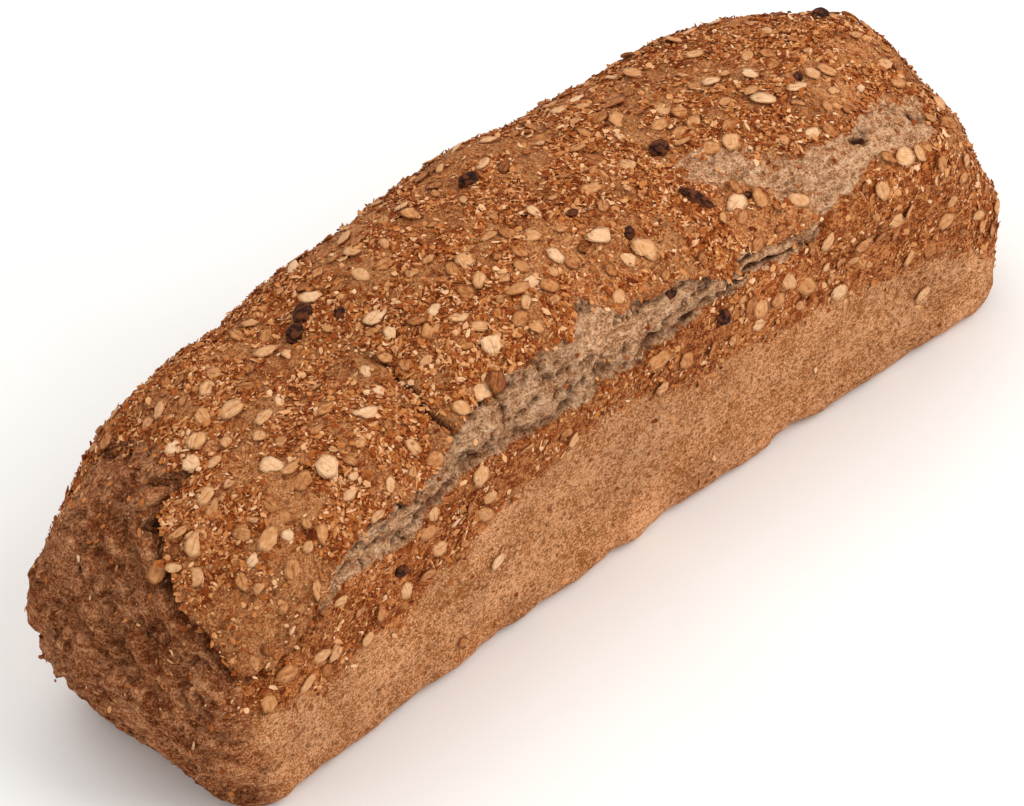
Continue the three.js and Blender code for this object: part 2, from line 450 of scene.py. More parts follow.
@dataclass(frozen=True)
class CrustFinish:
    """Finish of the loaf's skin: tan sides, brown dome, orange oat band, bared crumb and tears."""

    side: Tones = ("955827", "c38354", "e0a678")
    dome: Tones = ("762c06", "a95a28", "d08850")
    band: Tones = ("7a330c", "a55c2b", "ca854f")
    crumb: Tones = ("95603c", "cb966c", "ecc097")
    matte: Tones = ("7a3d18", "ab693c", "cc935f")
    end: Tones = ("71330f", "aa653c", "d99b6b")
    shade: str = "341303"
    # Painted shade for the hollows of the crust's relief.
    hollow_shade: str = "5f2d0e"
    # Painted shade in the dough's pores.
    pore_shade: str = "7d3c10"
    speck: str = "5c2204"

    def material(self, grain: bpy.types.NodeTree) -> bpy.types.Material:
        """Builds the skin's material.

        Args:
            grain: The shared mealy grain.

        Returns:
            A material that reads the crust's zone attributes.
        """
        material, sheet, shader, place = new_material("crust_finish")
        meal = use_group(sheet, grain, Place=place, Fineness=1250.0)
        speckle = meal.outputs["Speckle"]
        blotch = sheet.math("SUBTRACT", sheet.noise(place, 14.0, 3.0), 0.5)
        mottle = sheet.math("SUBTRACT", sheet.noise(place, 2.6, 5.0), 0.5)
        drawn = sheet.add("Mapping", None, Vector=place, Scale=(0.45, 0.3, 1.2))
        torn = sheet.math("SUBTRACT", sheet.noise(drawn.outputs[0], 1.5, 6.0), 0.5)
        fine = sheet.math("MULTIPLY_ADD", mottle, 0.35, speckle)
        fine = sheet.math("MULTIPLY_ADD", blotch, 0.34, fine)
        fine = sheet.math("MULTIPLY_ADD", fine, 1.7, -0.35)
        bold = sheet.math("MULTIPLY_ADD", mottle, 0.75, fine)
        ragged = sheet.math("MULTIPLY", mottle, 1.1)
        names = ("band", "end", "bran", "matte", "crumb")
        edges = {name: self._edge(sheet, name, ragged) for name in names}
        edges["matte"] = sheet.math("MULTIPLY", edges["matte"], edges["bran"])
        plain = sheet.math("MULTIPLY_ADD", fine, 0.6, 0.21)
        streaked = sheet.math("MULTIPLY_ADD", torn, 0.8, plain)
        leathery = sheet.math("MULTIPLY_ADD", torn, 0.75, plain)
        layers = (
            ("band", bold, self.band),
            ("end", leathery, self.end),
            ("bran", bold, self.dome),
            ("matte", plain, self.matte),
            ("crumb", streaked, self.crumb),
        )
        skin = self._zone(sheet, fine, self.side)
        for name, tone, tones in layers:
            skin = sheet.mix(edges[name], skin, self._zone(sheet, tone, tones))
        toast = sheet.span(sheet.attribute("toast"), 0.0, 1.0, (1.12, 0.7))
        skin = sheet.mix(1.0, skin, self._grey(sheet, toast), "MULTIPLY")
        for value, amount, code in (
            # Painted shade in the pores.
            (meal.outputs["Pores"], 0.3, self.pore_shade),
            (meal.outputs["Specks"], 0.5, self.speck),
            # Painted shade in the hollows of the relief.
            (sheet.attribute("hollow_shade"), 0.65, self.hollow_shade),
            (sheet.attribute("shade"), 0.92, self.shade),
        ):
            skin = sheet.mix(sheet.math("MULTIPLY", value, amount), skin, colour(code))
        sheet.dress(shader, skin, sheet.span(speckle, 0.3, 0.7, (0.74, 0.94)), 0.1)
        height = sheet.math("MULTIPLY_ADD", speckle, 0.6, mottle)
        height = sheet.math("MULTIPLY_ADD", meal.outputs["Pores"], -0.6, height)
        coarse = sheet.math("MAXIMUM", edges["crumb"], edges["end"])
        height = sheet.math("MULTIPLY_ADD", sheet.math("MULTIPLY", torn, coarse), 4.2, height)
        sheet.emboss(shader, height, 0.9, 0.0011)
        return material

    @staticmethod
    def _zone(sheet: Sheet, tone: Socket, tones: Tones) -> Socket:
        """One zone's colours, from its dark tone to its light one."""
        return sheet.ramp(tone, list(zip((0.3, 0.5, 0.72), tones)))

    @staticmethod
    def _edge(sheet: Sheet, name: str, ragged: Socket) -> Socket:
        """A zone's share, with its edge broken up by a ragged value."""
        return sheet.span(sheet.math("ADD", sheet.attribute(name), ragged), 0.35, 0.65)

    @staticmethod
    def _grey(sheet: Sheet, value: Socket) -> Socket:
        """A grey colour from one value."""
        node = sheet.add("CombineColor")
        for socket in node.inputs:
            sheet.feed(socket, value)
        return node.outputs["Color"]


@dataclass(frozen=True)
class OatFinish:
    """Finish of the rolled oats: cream to toasted, streaked along, with a thin crease in painted
    shade.
    """

    tones: tuple[str, ...] = ("6e3412", "a5622f", "c88a55", "dda878", "eac097")
    speck: str = "6b3512"

    def material(self, grain: bpy.types.NodeTree) -> bpy.types.Material:
        """Builds the oats' material, which reads each flake's tone and place on the flake.

        Args:
            grain: The shared mealy grain.

        Returns:
            The material.
        """
        material, sheet, shader, place = new_material("oat_finish")
        meal = use_group(sheet, grain, Place=place, Fineness=1500.0)
        names = ("along", "across", "tone", "crease")
        along, across, tone, depth = (sheet.attribute(name) for name in names)
        fleck = sheet.math("SUBTRACT", sheet.noise(place, 1.4, 4.0), 0.5)
        stretched = sheet.add("CombineXYZ", None, X=along, Y=sheet.math("MULTIPLY", across, 6.0))
        sheet.feed(stretched.inputs["Z"], sheet.math("MULTIPLY", tone, 40.0))
        streak = sheet.add("TexNoise", None, Vector=stretched.outputs[0], Scale=1.1, Detail=2.0)
        streak = sheet.math("SUBTRACT", streak.outputs["Fac"], 0.5)
        line = sheet.math("ABSOLUTE", sheet.math("MULTIPLY_ADD", fleck, 0.35, across))
        crease = sheet.math("MULTIPLY", sheet.span(line, 0.0, 0.12, (1.0, 0.0)), depth)
        crease = sheet.math("MULTIPLY", crease, sheet.span(along, 0.1, 0.5, (1.0, 0.0)))
        far = sheet.math("MULTIPLY_ADD", along, along, sheet.math("MULTIPLY", across, across))
        rim = sheet.span(far, 0.55, 1.0)
        # The crease darkens the tone as painted shade in its groove, as well as lowering the bump
        # below.
        for amount, value in ((0.7, fleck), (0.5, streak), (-0.2, rim), (-0.24, crease)):
            tone = sheet.math("MULTIPLY_ADD", value, amount, tone)
        specks = sheet.math("MULTIPLY", meal.outputs["Specks"], 0.5)
        skin = sheet.mix(specks, sheet.even_ramp(tone, self.tones), colour(self.speck))
        sheet.dress(shader, skin, sheet.span(fleck, -0.2, 0.2, (0.55, 0.8)), 0.2)
        height = sheet.math("MULTIPLY_ADD", crease, -0.8, sheet.math("ADD", streak, fleck))
        sheet.emboss(shader, height, 0.7, 0.0006)
        return material


@dataclass(frozen=True)
class BranFinish:
    """Finish of the bran shreds: each shred has one tone, from charred husk to pale straw."""

    tones: tuple[str, ...] = ("5c2003", "964816", "bb733a", "d69b66", "e6b98d")

    def material(self) -> bpy.types.Material:
        """Builds the bran's material, which reads each shred's tone."""
        material, sheet, shader, place = new_material("bran_finish")
        fleck = sheet.noise(place, 0.8, 3.0)
        shift = sheet.math("SUBTRACT", fleck, 0.5)
        tone = sheet.math("MULTIPLY_ADD", shift, 0.35, sheet.attribute("tone"))
        rough = sheet.span(fleck, 0.3, 0.7, (0.55, 0.85))
        sheet.dress(shader, sheet.even_ramp(tone, self.tones), rough, 0.12)
        return material


@dataclass(frozen=True)
class RaisinFinish:
    """Finish of the raisins: near-black wrinkled skin with a dull gloss and a brown bloom."""

    skin: Tones = ("1f0a03", "381708", "6e3a1c")

    def material(self) -> bpy.types.Material:
        """Builds the raisins' material: painted shade in the wrinkles' folds, lighter on the
        crests.
        """
        material, sheet, shader, place = new_material("raisin_finish")
        bloom = sheet.noise(place, 1.8, 4.0)
        part = sheet.math("MULTIPLY", bloom, 0.65)
        tone = sheet.math("MULTIPLY_ADD", sheet.attribute("crest_light"), 0.35, part)
        skin = sheet.ramp(tone, list(zip((0.25, 0.5, 0.85), self.skin)))
        sheet.dress(shader, skin, sheet.span(bloom, 0.3, 0.7, (0.6, 0.85)), 0.15)
        sheet.emboss(shader, bloom, 0.6, 0.0007)
        return material


@dataclass(frozen=True)
class FloorFinish:
    """Finish of the pale studio floor: almost white, with a faint unevenness."""

    light: str = "f7f6f4"
    dark: str = "efeeec"

    def material(self) -> bpy.types.Material:
        """Builds the floor's material."""
        material, sheet, shader, place = new_material("floor_finish")
        cloud = sheet.noise(place, 180.0, 2.0)
        tone = sheet.ramp(cloud, [(0.3, self.dark), (0.7, self.light)])
        sheet.feed(shader.inputs["Base Color"], tone)
        shader.inputs["Roughness"].default_value = 0.9
        shader.inputs["Specular IOR Level"].default_value = 0.1
        return material


# ---------------------------------------------------------------- the loaf's surface


@dataclass
class TearStation:
    """One place on the tear that runs under the top crust.

    at is the distance from the front left corner, negative on the left end and positive on the
    front; height is where the lower lip lies; band is the width of crumb bared above it; gape is
    the depth of the crack; sag is how far the crust hangs over it; bare is how much of the band
    shows crumb; and seat is where in the band the crack lies, from its lower to its upper edge.
    """

    at: float
    height: float
    band: float
    gape: float
    sag: float
    bare: float
    seat: float


TEAR = [
    TearStation(*row)
    for row in (
        (-118, 70, 4, 0.0, 0.0, 0.0, 0.5), (-100, 79, 5, 0.3, 0.0, 0.0, 0.5),
        (-85, 83, 6, 0.8, 0.1, 0.1, 0.5), (-76, 84, 6, 1.2, 0.3, 0.1, 0.5),
        (-60, 79, 7, 2.6, 0.7, 0.1, 0.5), (-50, 77, 8, 5.5, 1.5, 0.1, 0.5),
        (-41, 74, 8, 7.5, 2.2, 0.1, 0.5), (-35, 70, 9, 8.0, 2.4, 0.1, 0.5),
        (-24, 65, 9, 8.5, 2.8, 0.1, 0.5), (-12, 60, 8, 8.5, 3.2, 0.1, 0.5),
        (0, 55, 7, 8.0, 3.4, 0.1, 0.5), (12, 53, 5, 5.0, 2.6, 0.1, 0.5),
        (18, 58, 5, 4.0, 1.8, 0.1, 0.4), (27, 62, 7, 2.6, 1.2, 0.5, 0.3),
        (35, 70, 11, 2.0, 0.8, 0.9, 0.3), (46, 70, 13, 2.0, 0.5, 1.0, 0.3),
        (60, 68, 14, 1.8, 0.4, 1.0, 0.25), (70, 73, 13, 1.5, 0.4, 0.9, 0.2),
        (80, 77, 13, 1.3, 0.3, 1.0, 0.15), (90, 79, 16, 1.1, 0.3, 1.0, 0.15),
        (102, 78, 19, 1.2, 0.3, 1.0, 0.12), (112, 76, 21, 1.2, 0.3, 1.0, 0.12),
        (126, 75, 22, 1.3, 0.2, 1.0, 0.12), (140, 75, 22, 1.3, 0.2, 1.0, 0.12),
        (152, 75, 20, 1.5, 0.2, 1.0, 0.14), (162, 76, 16, 1.9, 0.4, 1.0, 0.15),
        (172, 76, 13, 2.4, 0.6, 1.0, 0.15), (180, 77, 9, 3.2, 0.5, 1.0, 0.18),
        (188, 77, 8, 3.4, 0.4, 1.0, 0.2), (199, 76, 9, 3.4, 0.4, 1.0, 0.2),
        (210, 76, 9, 3.0, 0.4, 1.0, 0.2), (220, 77, 8, 2.0, 0.3, 0.9, 0.2),
        (228, 80, 5, 0.8, 0.3, 0.4, 0.3), (238, 79, 4, 0.0, 0.0, 0.0, 0.5),
        (262, 68, 4, 0.0, 0.0, 0.0, 0.5), (280, 60, 4, 0.0, 0.0, 0.0, 0.5),
    )
]


@dataclass
class LoafShape:
    """The loaf's outline, walls and dome, as one surface of columns and levels."""

    base_length: float = 308.0
    rim_length: float = 298.0
    base_width: float = 88.0
    rim_width: float = 100.0
    rim: float = 74.0
    end_rim_drop: float = 12.0
    end_rim_reach: float = 50.0
    bulge: tuple[float, float] = (12.0, 9.0)
    bulge_height: float = 38.0
    bulge_spread: float = 24.0
    foot: float = 7.0
    base_corner: float = 17.0
    rim_corner: float = 26.0
    dome_corner_gain: float = 0.6
    roundness: float = 2.15
    roll: tuple[float, float] = (70.0, 46.0)
    bow: float = 4.0
    waist: float = 2.0
    ridge_x: tuple[float, ...] = (-150, -110, -70, -30, 10, 50, 90, 130, 150)
    ridge_z: tuple[float, ...] = (93, 98, 104, 107, 106, 103, 100, 98, 97)
    side_columns: int = 276
    end_columns: int = 45
    corner_columns: int = 36

    def __post_init__(self) -> None:
        """Lays out the columns: how far along its straight each is, and which way it faces."""
        side = np.linspace(-1, 1, self.side_columns, endpoint=False)
        end = np.linspace(-1, 1, self.end_columns, endpoint=False)
        turn = np.linspace(0, np.pi / 2, self.corner_columns, endpoint=False)
        same = np.ones_like
        self.along_x = np.concatenate(
            [side, same(turn), same(end), same(turn), -side, -same(turn), -same(end), -same(turn)]
        )
        self.along_y = np.concatenate(
            [-same(side), -same(turn), end, same(turn), same(side), same(turn), -end, -same(turn)]
        )
        self.facing = np.concatenate(
            [
                same(side) * -np.pi / 2,
                turn - np.pi / 2,
                same(end) * 0.0,
                turn,
                same(side) * np.pi / 2,
                turn + np.pi / 2,
                same(end) * np.pi,
                turn + np.pi,
            ]
        )
        self.on_side = np.isclose(np.abs(np.sin(self.facing)), 1.0) & (np.abs(self.along_x) < 1.0)
        rim_x, rim_y = self.outline(self.rim_length / 2, self.rim_width / 2, self.rim_corner)
        self.rim_x = rim_x
        left = (self.along_x < 0) & ~self.on_side
        front = (rim_y < 0) & ~left
        reach = self.rim_length
        at = np.full(rim_x.shape, reach)
        at = np.where(front & (np.sin(self.facing) < -0.7), rim_x + reach / 2, at)
        on_left = left & (self.facing >= 0.5 * np.pi)
        self.at = np.where(on_left, rim_x + reach / 2 - rim_y - self.rim_width / 2, at)
        self.rims = self.rim - self.end_rim_drop * ease(
            np.abs(rim_x), reach / 2 - self.end_rim_reach, reach / 2
        )

    @property
    def columns(self) -> int:
        """Number of columns round the loaf."""
        return len(self.facing)

    def outline(
        self, half_length: np.ndarray, half_width: np.ndarray, corner: np.ndarray
    ) -> tuple[np.ndarray, np.ndarray]:
        """Rounded rectangle: a corner centre, moved along its straight, plus the corner radius."""
        x = self.along_x * (half_length - corner) + corner * np.cos(self.facing)
        y = self.along_y * (half_width - corner) + corner * np.sin(self.facing)
        return x, y

    def ridge_height(self, x: np.ndarray) -> np.ndarray:
        """Height of the dome's ridge over a place along the loaf."""
        return curved_stations(x, np.array(self.ridge_x, float), np.array(self.ridge_z, float))

    def points(self, level: np.ndarray) -> np.ndarray:
        """Points of the smooth loaf.

        The wall leans out from the foot to the rim. Over the rim the half width shrinks as a
        power of the cosine of an angle, and the height rises as the same power of its sine. Each
        end rolls in with the cosine and swells out below the rim by a bell curve.

        Args:
            level: Rows by columns, 0 to 1 up the wall and 1 to 2 over the dome to the ridge.

        Returns:
            Rows by columns by x, y, z in millimetres.
        """
        up = np.minimum(level, 1.0)
        angle = np.maximum(level - 1.0, 0.0) * np.pi / 2
        shrink = np.cos(angle) ** (2 / self.roundness)
        rise = np.sin(angle) ** (2 / self.roundness)
        height = up * self.rims
        tuck = np.clip(self.foot - height, 0.0, self.foot)
        inset = self.foot - np.sqrt(self.foot**2 - tuck**2)
        half_length = (self.base_length + (self.rim_length - self.base_length) * up) / 2 - inset
        half_width = (self.base_width + (self.rim_width - self.base_width) * up) / 2 - inset
        half_width = half_width * shrink
        corner = self.base_corner + (self.rim_corner - self.base_corner) * up - inset
        gain = self.dome_corner_gain * (self.rim_width / 2 - half_width)
        corner = corner + np.where(level > 1, gain, 0)
        flat_x, flat_y = self.outline(half_length, half_width, np.minimum(corner, half_width))
        left = flat_x < 0
        crown = self.rims + (self.ridge_height(flat_x) - self.rims) * rise
        z = np.where(level <= 1, height, crown)
        near_end = ease(np.abs(flat_x), half_length - 2 * self.rim_corner, half_length)
        bulge = np.where(left, -self.bulge[0], self.bulge[1])
        bulge = bulge * hump(z, self.bulge_height, self.bulge_spread)
        roll = np.where(left, self.roll[0], self.roll[1])
        x = flat_x * (1 - (roll / half_length) * (1 - np.cos(angle))) + near_end * bulge
        middle = 1 - (2 * x / self.base_length) ** 2
        waist = np.where(self.on_side, self.waist * middle * (1 - up) * np.sign(flat_y), 0.0)
        y = flat_y + self.bow * middle - waist
        return np.stack([x, y, z], axis=-1)

    def level_at(self, height: np.ndarray) -> np.ndarray:
        """The level at which each column reaches a height, the inverse of the rise above."""
        rise = (height - self.rims) / (self.ridge_height(self.rim_x) - self.rims)
        angle = np.arcsin(np.clip(rise, 0.0, 1.0) ** (self.roundness / 2))
        return np.where(height <= self.rims, height / self.rims, 1 + angle / (np.pi / 2))


def facing_out(points: np.ndarray) -> np.ndarray:
    """Outward directions of a grid of rings: the step round a ring crossed with the step up."""
    ahead = np.roll(points, -1, axis=1) - np.roll(points, 1, axis=1)
    up = np.gradient(points, axis=0)
    return normalised(np.cross(ahead, up))


@dataclass
class CrustSurface:
    """The finished skin as arrays, with places and directions for what is baked onto it."""

    points: np.ndarray
    outward: np.ndarray
    masks: dict[str, np.ndarray]

    def __post_init__(self) -> None:
        """Works out the skin's area round each vertex."""
        ahead = np.roll(self.points, -1, axis=1) - self.points
        up = np.gradient(self.points, axis=0)
        self.area = np.linalg.norm(np.cross(ahead, up), axis=-1)

    def calm(self) -> np.ndarray:
        """How flat the skin lies at each vertex, 0 to 1: how nearly it faces as the form does."""
        return ease(np.sum(facing_out(self.points) * self.outward, axis=-1), 0.55, 0.9)

    def nearest(self, x: float, y: float, z: float) -> int:
        """Number of the vertex closest to a place."""
        return int(np.argmin(np.sum((self.points - np.array([x, y, z])) ** 2, axis=-1)))

    def strew(self, density: np.ndarray, count: int, rng: np.random.Generator) -> np.ndarray:
        """Vertices drawn at random, in proportion to area times density."""
        weight = (self.area * density).ravel()
        return rng.choice(weight.size, size=count, p=weight / weight.sum())

    def spread(
        self,
        density: np.ndarray,
        count: int,
        gap: float,
        taken: np.ndarray,
        rng: np.random.Generator,
    ) -> np.ndarray:
        """Vertices drawn at random that keep a gap from each other and from places taken.

        Args:
            density: How likely each vertex is, times its area.
            count: How many are drawn before the gap is kept.
            gap: Smallest distance between two, in millimetres.
            taken: Places that are already covered.
            rng: Random numbers.

        Returns:
            Vertex numbers.
        """
        drawn = self.strew(density, count, rng)
        places = self.points.reshape(-1, 3)[drawn]
        kept = list(taken)
        chosen = []
        for vertex, place in zip(drawn, places):
            if not kept or np.min(np.sum((np.array(kept) - place) ** 2, axis=1)) > gap**2:
                kept.append(place)
                chosen.append(vertex)
        return np.array(chosen, dtype=int)

    def frames(self, vertices: np.ndarray, turn: np.ndarray, tilt: np.ndarray) -> np.ndarray:
        """Directions of pieces that lie on the skin.

        Args:
            vertices: Where each lies.
            turn: Its turn in the skin's plane, in radians.
            tilt: Its tilt about its own two axes, in radians, one pair each.

        Returns:
            A matrix for each, whose columns are its length, width and outward directions.
        """
        out = self.outward.reshape(-1, 3)[vertices]
        first = normalised(np.cross(out, np.array([0.13, 0.97, 0.21])))
        second = np.cross(out, first)
        c, s = np.cos(turn)[:, None], np.sin(turn)[:, None]
        long = first * c + second * s
        wide = np.cross(out, long)
        long = normalised(long + out * np.tan(tilt[:, :1]))
        wide = normalised(wide + out * np.tan(tilt[:, 1:]))
        out = normalised(np.cross(long, wide))
        return np.stack([long, np.cross(out, long), out], axis=-1)


# ---------------------------------------------------------------- crust


def bumps(points: np.ndarray, table: tuple[tuple[float, ...], ...]) -> np.ndarray:
    """Sum of round bumps, each given as x, y, z, radius and height."""
    return sum(
        high * np.exp(-np.sum((points - np.array(place)) ** 2, axis=-1) / radius**2)
        for *place, radius, high in table
    )


@dataclass
class CrustRows:
    """The smooth rows of the skin, and what every step of the crust reads off them."""

    base: np.ndarray
    share: np.ndarray
    tear: dict[str, np.ndarray]
    noise: Noise


@dataclass
class Crust:
    """The loaf's whole skin, with its crumb, cracks and lips, as one closed mesh.

    Places on the dome are given as x and as arc, the way up from the rim over the shoulder in
    millimetres. Lumps and pits are x, y, z, radius and height or depth.
    """

    shape: LoafShape = field(default_factory=LoafShape)
    finish: CrustFinish = field(default_factory=CrustFinish)
    foot_rows: int = 6
    wall_rows: int = 45
    band_rows: int = 17
    dome_rows: int = 52
    opening: float = 0.995
    arc: float = 68.0
    band_low: tuple[tuple[float, float], ...] = (
        (-150, 40), (-121, 39), (-89, 40), (-79, 48), (-50, 55), (-37, 57), (-25, 63), (-14, 66),
        (0, 65), (11, 58), (24, 56), (47, 50), (83, 49), (102, 45), (120, 38), (138, 30),
        (150, 16),
    )
    patch: tuple[tuple[float, float], ...] = (
        (53, 53), (65, 52), (72, 46), (74, 40), (82, 36), (90, 37), (99, 36), (104, 32), (111, 38),
        (121, 36), (126, 30), (133, 26), (130, 21), (120, 22), (110, 23), (100, 22), (90, 18),
        (79, 13), (75, 22), (69, 32), (62, 41), (53, 46),
    )
    lumps: tuple[tuple[float, float, float, float, float], ...] = (
        (138, 6, 92, 20, 4.5), (154, -24, 78, 15, -2.0), (148, 0, 84, 18, 3.2),
        (158, -33, 54, 17, -3.4), (-124, 36, 86, 16, -3.6), (-72, 36, 90, 16, -2.4),
        (14, 34, 98, 16, 3.5), (-141, 44, 76, 15, -4), (-162, 10, 44, 32, 6.5),
        (-68, -32, 98, 13, -2.4), (60, 28, 100, 15, 2.2), (-30, 24, 104, 18, 1.6),
        (-104, -26, 92, 20, 2.0), (-14, -30, 100, 16, 1.8), (104, -50, 76, 16, 1.6),
        (84, -8, 100, 14, 1.5),
    )
    pits: tuple[tuple[float, float, float, float, float], ...] = (
        (129, -38, 86, 2.4, 5.5), (88, -44, 85, 1.6, 2.4), (106, -37, 91, 2.4, 3.0),
        (103, -38, 90, 1.8, 2.4), (-160, 20, 58, 4.5, 4.5), (-161, -8, 48, 5.0, 4.5),
        (-158, -24, 30, 4.5, 4.0), (-164, 26, 34, 5.0, 4.0), (-156, -30, 52, 4.0, 4.0),
        (-165, 4, 22, 4.0, 3.0),
    )
    band_back: float = 48.0
    end_from: float = 120.0
    crack_from: float = 84.0
    crack_depth: float = 2.4
    dark_gap: float = 3.5
    tongue: tuple[float, float, float] = (-131, -38, 72)
    crack_x: float = -63.0

    def levels(self, noise: Noise) -> tuple[np.ndarray, np.ndarray, dict[str, np.ndarray]]:
        """Levels of every row in every column, and how far each row is up the bared band.

        The rows follow the tear: foot, wall up to the lower lip, band up to the crust's edge,
        and dome. Both lips wander a little. Round the back left corner the tear's numbers ease
        out to those of the last station, so that the tear dies away on the back.

        Args:
            noise: Noise for the wandering.

        Returns:
            Levels, the share of the band (below 0 under it and above 1 over it), and the tear's
            numbers in each column.
        """
        s = self.shape
        places = np.array([t.at for t in TEAR])
        read = {
            key: eased_stations(s.at, places, np.array([getattr(t, key) for t in TEAR]))
            for key in ("height", "band", "gape", "sag", "bare", "seat")
        }
        back_left = (s.at < 0) & (s.facing < np.pi)
        fade = ease(s.facing, 0.5 * np.pi, 0.76 * np.pi)
        for key, values in read.items():
            plain = getattr(TEAR[-1], key)
            read[key] = np.where(back_left, plain + (values - plain) * fade, values)
        line = np.stack([s.at, s.at * 0, s.at * 0], axis=-1)
        ragged = np.minimum(read["gape"], 1.0)
        wander = 1.8 * noise.layered(line, 10.0) + 1.0 * noise.layered(line, 3.5)
        low = read["height"] + ragged * wander
        band = read["band"] * (1 + ragged * 0.3 * noise.layered(line + 50, 8.0))
        band = band + ragged * 1.2 * noise.layered(line + 90, 3.5)
        start = s.level_at(low)
        stop = start + band * 1.35 / s.rim
        foot_top = s.foot / s.rim
        foot = foot_top * (1 - np.cos(np.linspace(0, np.pi / 2, self.foot_rows, endpoint=False)))
        one = np.ones(s.columns)
        up = np.linspace(0, 1, self.wall_rows, endpoint=False)[:, None]
        across = np.linspace(0, 1, self.band_rows, endpoint=False)[:, None]
        over = np.linspace(0, 1, self.dome_rows)[:, None]
        over = 1.25 * over - 0.25 * over**2
        top = 1 + self.opening
        parts = (
            (foot[:, None] * one, -one - 0 * foot[:, None]),
            (foot_top + (start - foot_top) * up, up - one),
            (start + (stop - start) * across, across * one),
            (stop + (top - stop) * over, 1 + over * one),
        )
        level, share = (np.concatenate(part) for part in zip(*parts))
        return level, share, read

    def _zones(self, rows: CrustRows) -> tuple[np.ndarray, np.ndarray, np.ndarray, np.ndarray]:
        """How far each point belongs to an end, to the left end, to the oat band and to the bran.

        Args:
            rows: The smooth rows.

        Returns:
            Four shares, 0 to 1, in that order.
        """
        base, share, noise, facing = rows.base, rows.share, rows.noise, self.shape.facing
        x, _, z = np.moveaxis(base, -1, 0)
        turned = np.abs(np.cos(facing)) + 0.3 * noise.layered(base + 3, 14.0, 3)
        face = ease(turned, 0.3, 0.9) * ease(share, 1.0, 0.9) * (np.abs(x) > self.end_from)
        left = np.where(np.cos(facing) < 0, face, 0.0)
        low_x, low_z = np.array(self.band_low, float).T
        low = np.interp(x, low_x, low_z)
        behind = ease(np.sin(facing), -0.3, 0.6)
        low = low + behind * (self.band_back - low) + 5.0 * noise.layered(base, 15.0, 4)
        band = ease(z, low - 6, low + 6) * (1 - left)
        torn = np.minimum(rows.tear["gape"], 1.0)
        edge = torn + (1 - torn) * ease(z + 7 * noise.layered(base, 15.0, 3), 62, 78)
        return face, left, band, ease(share, 0.98, 1.02) * edge

    def _swollen(self, rows: CrustRows, over: np.ndarray) -> np.ndarray:
        """Height of the broad lumps and hollows over the smooth form.

        Args:
            rows: The smooth rows.
            over: How far each point is over the rim, 0 to 1.

        Returns:
            Height of every point, in millimetres.
        """
        base, noise, z = rows.base, rows.noise, rows.base[..., 2]
        large = (0.7 + 0.9 * over) * noise.layered(base, 30.0, 2) + bumps(base, self.lumps)
        foot = 1.5 * ease(z, 30.0, 4.0) * noise.layered(base + 11, 15.0, 3)
        return large * ease(z, -12.0, 20.0) + foot

    def _grained(
        self,
        rows: CrustRows,
        over: np.ndarray,
        face: np.ndarray,
        left: np.ndarray,
        band: np.ndarray,
    ) -> np.ndarray:
        """Height of the crust's own roughness: a lumpy dome, ragged ends and a pored wall.

        Args:
            rows: The smooth rows.
            over: How far each point is over the rim, 0 to 1.
            face: How far it belongs to either end.
            left: How far it belongs to the left end.
            band: How far it belongs to the oat band.

        Returns:
            Height of every point, in millimetres.
        """
        base, noise, z = rows.base, rows.noise, rows.base[..., 2]
        rough = (0.2 + 0.75 * over) * noise.layered(base + 31, 11.0, 3)
        rough += (0.12 + 0.45 * over + 0.4 * band) * noise.layered(base + 57, 4.4, 3)
        slanted = base @ np.array([[1, 0, 0], [0, 0.45, 0.89], [0, -0.89, 0.45]])
        ragged = (0.35 * (face - left) + left) * ease(z, 0.0, 10.0)
        rough += ragged * (2.6 * noise.layered(slanted, (13, 3.8, 17), 4))
        folds = np.abs(noise.layered(slanted + 70, (16, 6, 19), 3))
        rough -= ragged * 2.6 * ease(folds, 0.14, 0.0)
        near, name = noise.cells(base, (8, 10, 7))
        rough -= ragged * 2.4 * ease(near, 0.42, 0.1) * (name > 0.86)
        near, name = noise.cells(base, (6, 6, 4.5))
        wall = ease(z, 0.0, 8.0) * (1 - over) * (1 - left)
        rough -= wall * 0.9 * ease(near, 0.3, 0.08) * (name > 0.82)
        return rough

    def _torn(
        self, rows: CrustRows, rough: np.ndarray, rifts: np.ndarray
    ) -> tuple[np.ndarray, np.ndarray, np.ndarray]:
        """Cuts the tear into the roughness: the gap, the bared crumb and both ragged lips.

        Args:
            rows: The smooth rows.
            rough: Roughness, which is changed in place.
            rifts: Where the crumb splits, 0 to 1.

        Returns:
            How bare the crumb is and how deep in the gap each point lies, both 0 to 1, and how
            far the crust hangs down, in millimetres.
        """
        base, share, tear, noise = rows.base, rows.share, rows.tear, rows.noise
        torn = np.minimum(tear["gape"], 1.0)
        inside = ease(share, -0.04, 0.1) * ease(share, 1.03, 0.93)
        bare = inside * tear["bare"]
        under = hump(share, tear["seat"], 0.3 - 0.19 * tear["bare"]) * ease(share, -0.04, 0.08)
        under = under * ease(share, 1.0, 0.97)
        fibres = noise.layered(base, (9, 3.4, 3.0), 4)
        rough += bare * (1.7 * fibres - 0.6 - 1.5 * rifts)
        broken = np.maximum(1 + (0.3 + 1.3 * tear["bare"]) * noise.layered(base, 8.0), 0)
        rough -= tear["gape"] * under * broken
        rough -= 0.3 * tear["gape"] * inside * (1 - tear["bare"])
        rough += torn * hump(share, 0.0, 0.05) * (0.5 + 0.9 * noise.layered(base + 5, 4.0, 2))
        above = np.where(share >= 1.0, np.exp(-(share - 1.0) / 0.1), 0.0)
        lip = 1 + 0.7 * noise.layered(base + 9, 4.6, 2)
        rough += above * (0.3 + 0.85 * tear["sag"]) * torn * lip
        gap = under * np.minimum(tear["gape"] * broken / self.dark_gap, 1)
        return bare, gap, above * tear["sag"] * lip

